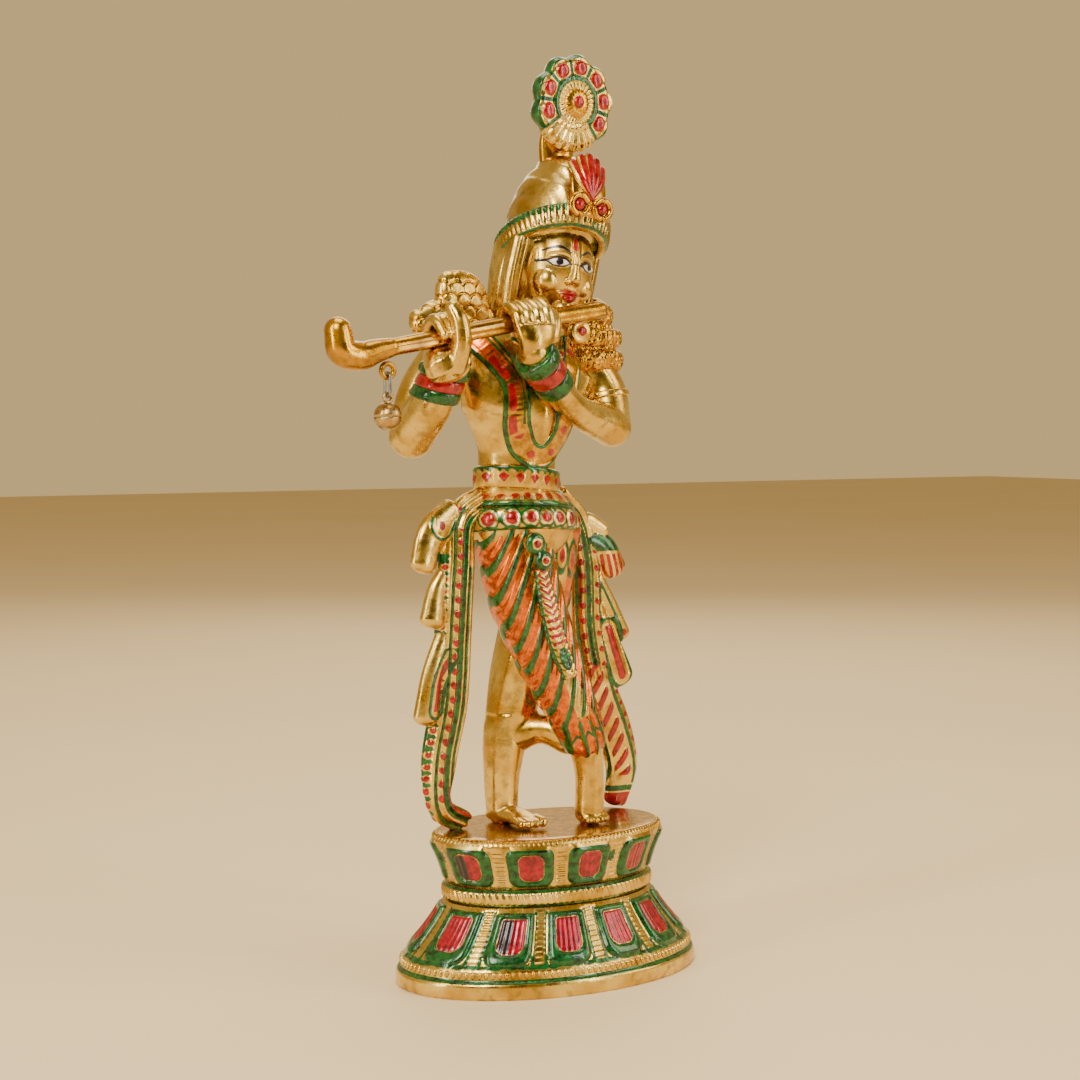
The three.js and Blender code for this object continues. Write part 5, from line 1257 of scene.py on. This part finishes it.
turn = np.arctan2(skin.x, skin.z / medallion["stretch"])  # 0 at the top
fan = math.radians(38)
index = np.clip(np.rint(turn / fan), -3, 3)
petalSide = (turn - index * fan) * away
petal = oval(petalSide, away - 10.7, 2.45, 2.2)
frontSide = skin.y < 0
ring = 0.8 - np.abs(away - 7.5)
spoke = np.where((away > 7.7) & (np.abs(turn) < math.radians(136)), 0.62 - np.abs(repeat(turn, fan,
    fan / 2)) * away, -1)
skin.paint("green", np.where((away > 13.4) & (np.abs(turn) < math.radians(136)), 0.5, -1))
skin.paint("green", np.where(frontSide & (away > 6) & (np.abs(turn) < math.radians(136)), np.maximum(ring,
    spoke), -1))
skin.paint("red", np.where(frontSide & (np.abs(turn) < math.radians(133)), petal, -1))
rosette = 0.35 * np.abs(np.cos(turn * 13)) * np.exp(-((away - 4.6) / 2.0) ** 2)
lift = np.where(frontSide, 0.7 * swell(petal, 1.6) + 0.45 * swell(ring + 0.2, 0.8) + rosette, 0)
# the rim's outline is scalloped round the petals
lift += np.where(away > 13.2, 0.9 * np.cos((turn - index * fan) * 7) * (np.abs(turn) < math.radians(136)), 0)
lift += np.where(frontSide & (np.abs(turn) > math.radians(136)) & (away > 4), 0.35 * np.cos(turn * 30), 0)
skin.raiseBy(lift)
makePiece(skin, "featherMedallion", headFrame @ Matrix.Translation(medallion["centre"]), giltCasting,
          ("feather_medallion",))
bm = startMesh()
addDrop(bm, (-3, -7.6, 67.4), (4.6, 1.4, 4.8), sides=48, rings=32)
addDrop(bm, (-3, -8.9, 67.6), (1.9, 0.9, 2.1), sides=24, rings=16, part=1)
skin = Skin(bm)
skin.paint("red", np.where(skin.part > 0.5, 0.9, -1))
skin.raiseBy(np.where(skin.part < 0.5, 0.18 * np.cos(np.arctan2(skin.x + 3, skin.z - 67.4) * 18), 0))
makePiece(skin, "medallionBoss", headFrame, amberCasting, ("feather_medallion_boss",))
print("head made")


for name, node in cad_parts.items():
    if not node.hide_render:
        node.data.materials.clear()
        node.data.materials.append(drawnSteel)


studio = dict(floor="#F4DFB2", sky="#E8C686", far="#54452A", skyStrength=0.8)
floorMesh = bmesh.new()
bmesh.ops.create_grid(floorMesh, x_segments=1, y_segments=1, size=4)
mesh = bpy.data.meshes.new("floor")
floorMesh.to_mesh(mesh)
floorMesh.free()
floor = bpy.data.objects.new("floor", mesh)
scene.collection.objects.link(floor)
# matt painted board: pale and even
board = bpy.data.materials.new("mattPaintedBoard")
board.use_nodes = True
tree = board.node_tree
tree.nodes.clear()
grain = addNode(tree, "ShaderNodeTexNoise", {"Scale": 3.0},
                {"Vector": addNode(tree, "ShaderNodeTexCoord").outputs["Object"]})
tone = addNode(tree, "ShaderNodeMix", {"data_type": "RGBA", 6: toLinear("#EBD3A4"),
                                       7: toLinear(studio["floor"])},
               {0: grain.outputs["Fac"]})
addNode(tree, "ShaderNodeOutputMaterial", {},
        {"Surface": addNode(tree, "ShaderNodeBsdfPrincipled", {"Roughness": 0.7},
                            {"Base Color": tone.outputs[2]}).outputs[0]})
mesh.materials.append(board)

world = bpy.data.worlds.new("studio")
scene.world = world
world.use_nodes = True
world.node_tree.nodes.clear()
# the room is darker on the viewer's side, so that the metal has something to mirror
heading = addNode(world.node_tree, "ShaderNodeSeparateXYZ", {}, {0: addNode(world.node_tree,
    "ShaderNodeTexCoord").outputs["Generated"]})
depth = addNode(world.node_tree, "ShaderNodeMapRange", {"From Min": -0.7, "From Max": 0.1},
                {"Value": heading.outputs["Y"]})
sky = addNode(world.node_tree, "ShaderNodeMix", {"data_type": "RGBA", 6: toLinear(studio["far"]),
                                                 7: toLinear(studio["sky"])},
              {0: depth.outputs[0]})
light = addNode(world.node_tree, "ShaderNodeBackground", {"Strength": studio["skyStrength"]},
                {"Color": sky.outputs[2]})
addNode(world.node_tree, "ShaderNodeOutputWorld", {}, {"Surface": light.outputs[0]})

lights = [("keyPanel", (-0.9, -0.9, 1.1), (0.45, 0.7), 22, "#FFF6E8"), ("fillPanel", (0.9, -0.7, 0.6),
    (0.4, 0.8), 6, "#FFE9CC"),
          ("topPanel", (0.1, 0.1, 1.5), (0.8, 0.8), 9, "#FFF8EC"), ("backPanel", (0.6, 0.9, 0.8), (0.8, 0.8),
              5, "#FFF2DE"),
          ("leftStrip", (-1.0, -0.2, 0.35), (0.1, 1.1), 6, "#FFFDF6"), ("rightStrip", (0.5, -1.0, 0.35),
              (0.1, 1.1), 5, "#FFFDF6")]
for name, place, size, power, tint in lights:
    data = bpy.data.lights.new(name, "AREA")
    data.shape = "RECTANGLE"
    data.size, data.size_y = size
    data.energy = power
    data.color = toLinear(tint)[:3]
    lamp = bpy.data.objects.new(name, data)
    lamp.location = place
    lamp.rotation_euler = (Vector((0.02, 0, 0.15)) - Vector(place)).to_track_quat("-Z", "Y").to_euler()
    scene.collection.objects.link(lamp)

view = dict(place=(-0.3599, -0.6055, 0.185), aim=(0.0163, 0.0014, 0.1427), lens=72.5)
cameraData = bpy.data.cameras.new("camera")
cameraData.lens = view["lens"]
cameraData.sensor_width = 36
cameraData.clip_start = 0.01
camera = bpy.data.objects.new("camera", cameraData)
camera.location = view["place"]
camera.rotation_euler = (Vector(view["aim"]) - Vector(view["place"])).to_track_quat("-Z", "Y").to_euler()
scene.collection.objects.link(camera)
scene.camera = camera
print("studio made")
